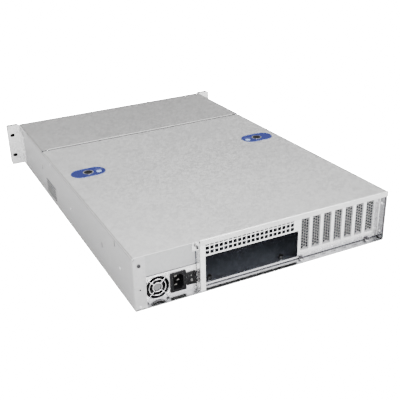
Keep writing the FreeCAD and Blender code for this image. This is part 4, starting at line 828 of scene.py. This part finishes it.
def add_seam_shade_strip():
    """A half-round black strip along the front cover's rear flange under the seam: painted shade."""
    reach = PAN_BOX[1][0] - SHADE_STRIP_FROM_SIDE
    half = SHADE_STRIP_HEIGHT / 2
    middle_z = LID_TOP - SHADE_STRIP_FROM_TOP + half
    face_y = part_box("front_cover")[1][1]
    profile = [(face_y, middle_z - half)]
    for i in range(SHADE_STRIP_ROUND_STEPS + 1):
        a = -math.pi / 2 + math.pi * i / SHADE_STRIP_ROUND_STEPS
        y = face_y + SHADE_STRIP_DEPTH * (1 + math.cos(a)) / 2
        profile.append((y, middle_z + half * math.sin(a)))
    profile.append((face_y, middle_z + half))
    shape = bmesh.new()
    loops = []
    for i in range(-SHADE_STRIP_HALF_STATIONS, SHADE_STRIP_HALF_STATIONS + 1):
        x = reach * i / SHADE_STRIP_HALF_STATIONS
        loops.append([shape.verts.new((x, y, z)) for y, z in profile])
    join_loops(shape, loops)
    shape.faces.new(loops[0])
    shape.faces.new(loops[-1])
    new_piece("seam_shade_strip", shape, "rubber", "chassis", "black_plastic")


def add_pieces():
    add_crossed_screws()
    add_fan_labels()
    add_ear_slot_lips()
    add_seam_shade_strip()
    add_thumb_pips()
    add_rocker_marks()


add_pieces()


# ---- Studio -------------------------------------------------------------------------------------
def add_camera():
    data = bpy.data.cameras.new("camera")
    data.lens = CAMERA_LENS
    data.shift_x = CAMERA_SHIFT
    camera = new_object("camera", data)
    heading, pitch, roll = (math.radians(v) for v in (CAMERA_HEADING, CAMERA_PITCH, CAMERA_ROLL))
    ahead = Vector((math.cos(pitch) * math.cos(heading), math.cos(pitch) * math.sin(heading),
                    math.sin(pitch)))
    level = ahead.cross(Vector((0, 0, 1))).normalized()
    upright = level.cross(ahead)
    right = math.cos(roll) * level + math.sin(roll) * upright
    up = -math.sin(roll) * level + math.cos(roll) * upright
    turn = Matrix((right, up, -ahead)).transposed()
    camera.matrix_world = Matrix.Translation(CAMERA_PLACE) @ turn.to_4x4()
    bpy.context.scene.camera = camera


def add_softbox(name, place, aim, size, power):
    data = bpy.data.lights.new(name, "AREA")
    data.shape = "RECTANGLE"
    data.size, data.size_y = size
    data.energy = power
    lamp = new_object(name, data)
    lamp.location = place
    lamp.rotation_euler = (Vector(aim) - Vector(place)).to_track_quat("-Z", "Y").to_euler()


def as_seen(tree):
    """1 where the camera looks straight at a surface or the sky, and 0 for light on its way."""
    return add_node(tree, "ShaderNodeLightPath").outputs["Is Camera Ray"]


def add_sky():
    """Even light from above that fades towards the horizon, before a plain white backdrop."""
    world = bpy.data.worlds.new("studio")
    bpy.context.scene.world = world
    world.use_nodes = True
    tree = world.node_tree
    direction = add_node(tree, "ShaderNodeTexCoord").outputs["Generated"]
    strength = ramp(tree, split_axes(tree, direction)["Z"], *SKY_HEIGHTS, *SKY_STRENGTHS)
    strength = ramp(tree, as_seen(tree), 0, 1, strength, BACKDROP_GLOW)
    background = tree.nodes["Background"]
    link(tree, strength, background.inputs["Strength"])
    background.inputs["Color"].default_value = (1, 1, 1, 1)


def add_floor():
    """White paper that glows as seen, apart from what lies under the case."""
    mesh = bpy.data.meshes.new("floor")
    half = FLOOR_SIZE / 2
    low = CAD_BOX[0].z - FLOOR_GAP
    corners = [(-half, -half, low), (half, -half, low), (half, half, low), (-half, half, low)]
    mesh.from_pydata(corners, [], [(0, 1, 2, 3)])
    floor = new_object("floor", mesh)
    paper, tree, shader = new_material("white paper", Base_Color=(0.9, 0.9, 0.9, 1), Roughness=0.9,
                                       Emission_Color=(1, 1, 1, 1))
    axes = split_axes(tree, own_place(tree))
    (low_x, low_y), (high_x, high_y) = (corner[:2] for corner in PAN_BOX)
    past = [maths(tree, operation, axes[axis], limit)
            for operation, axis, limit in (("LESS_THAN", "X", low_x), ("GREATER_THAN", "X", high_x),
                                           ("LESS_THAN", "Y", low_y), ("GREATER_THAN", "Y", high_y))]
    seen = maths(tree, "MULTIPLY", as_seen(tree), join_masks(tree, "MAXIMUM", past))
    link(tree, ramp(tree, seen, 0, 1, *FLOOR_GLOW), shader.inputs["Emission Strength"])
    mesh.materials.append(paper)


def add_studio():
    add_sky()
    add_floor()
    for softbox in SOFTBOXES:
        add_softbox(*softbox)


add_camera()
add_studio()
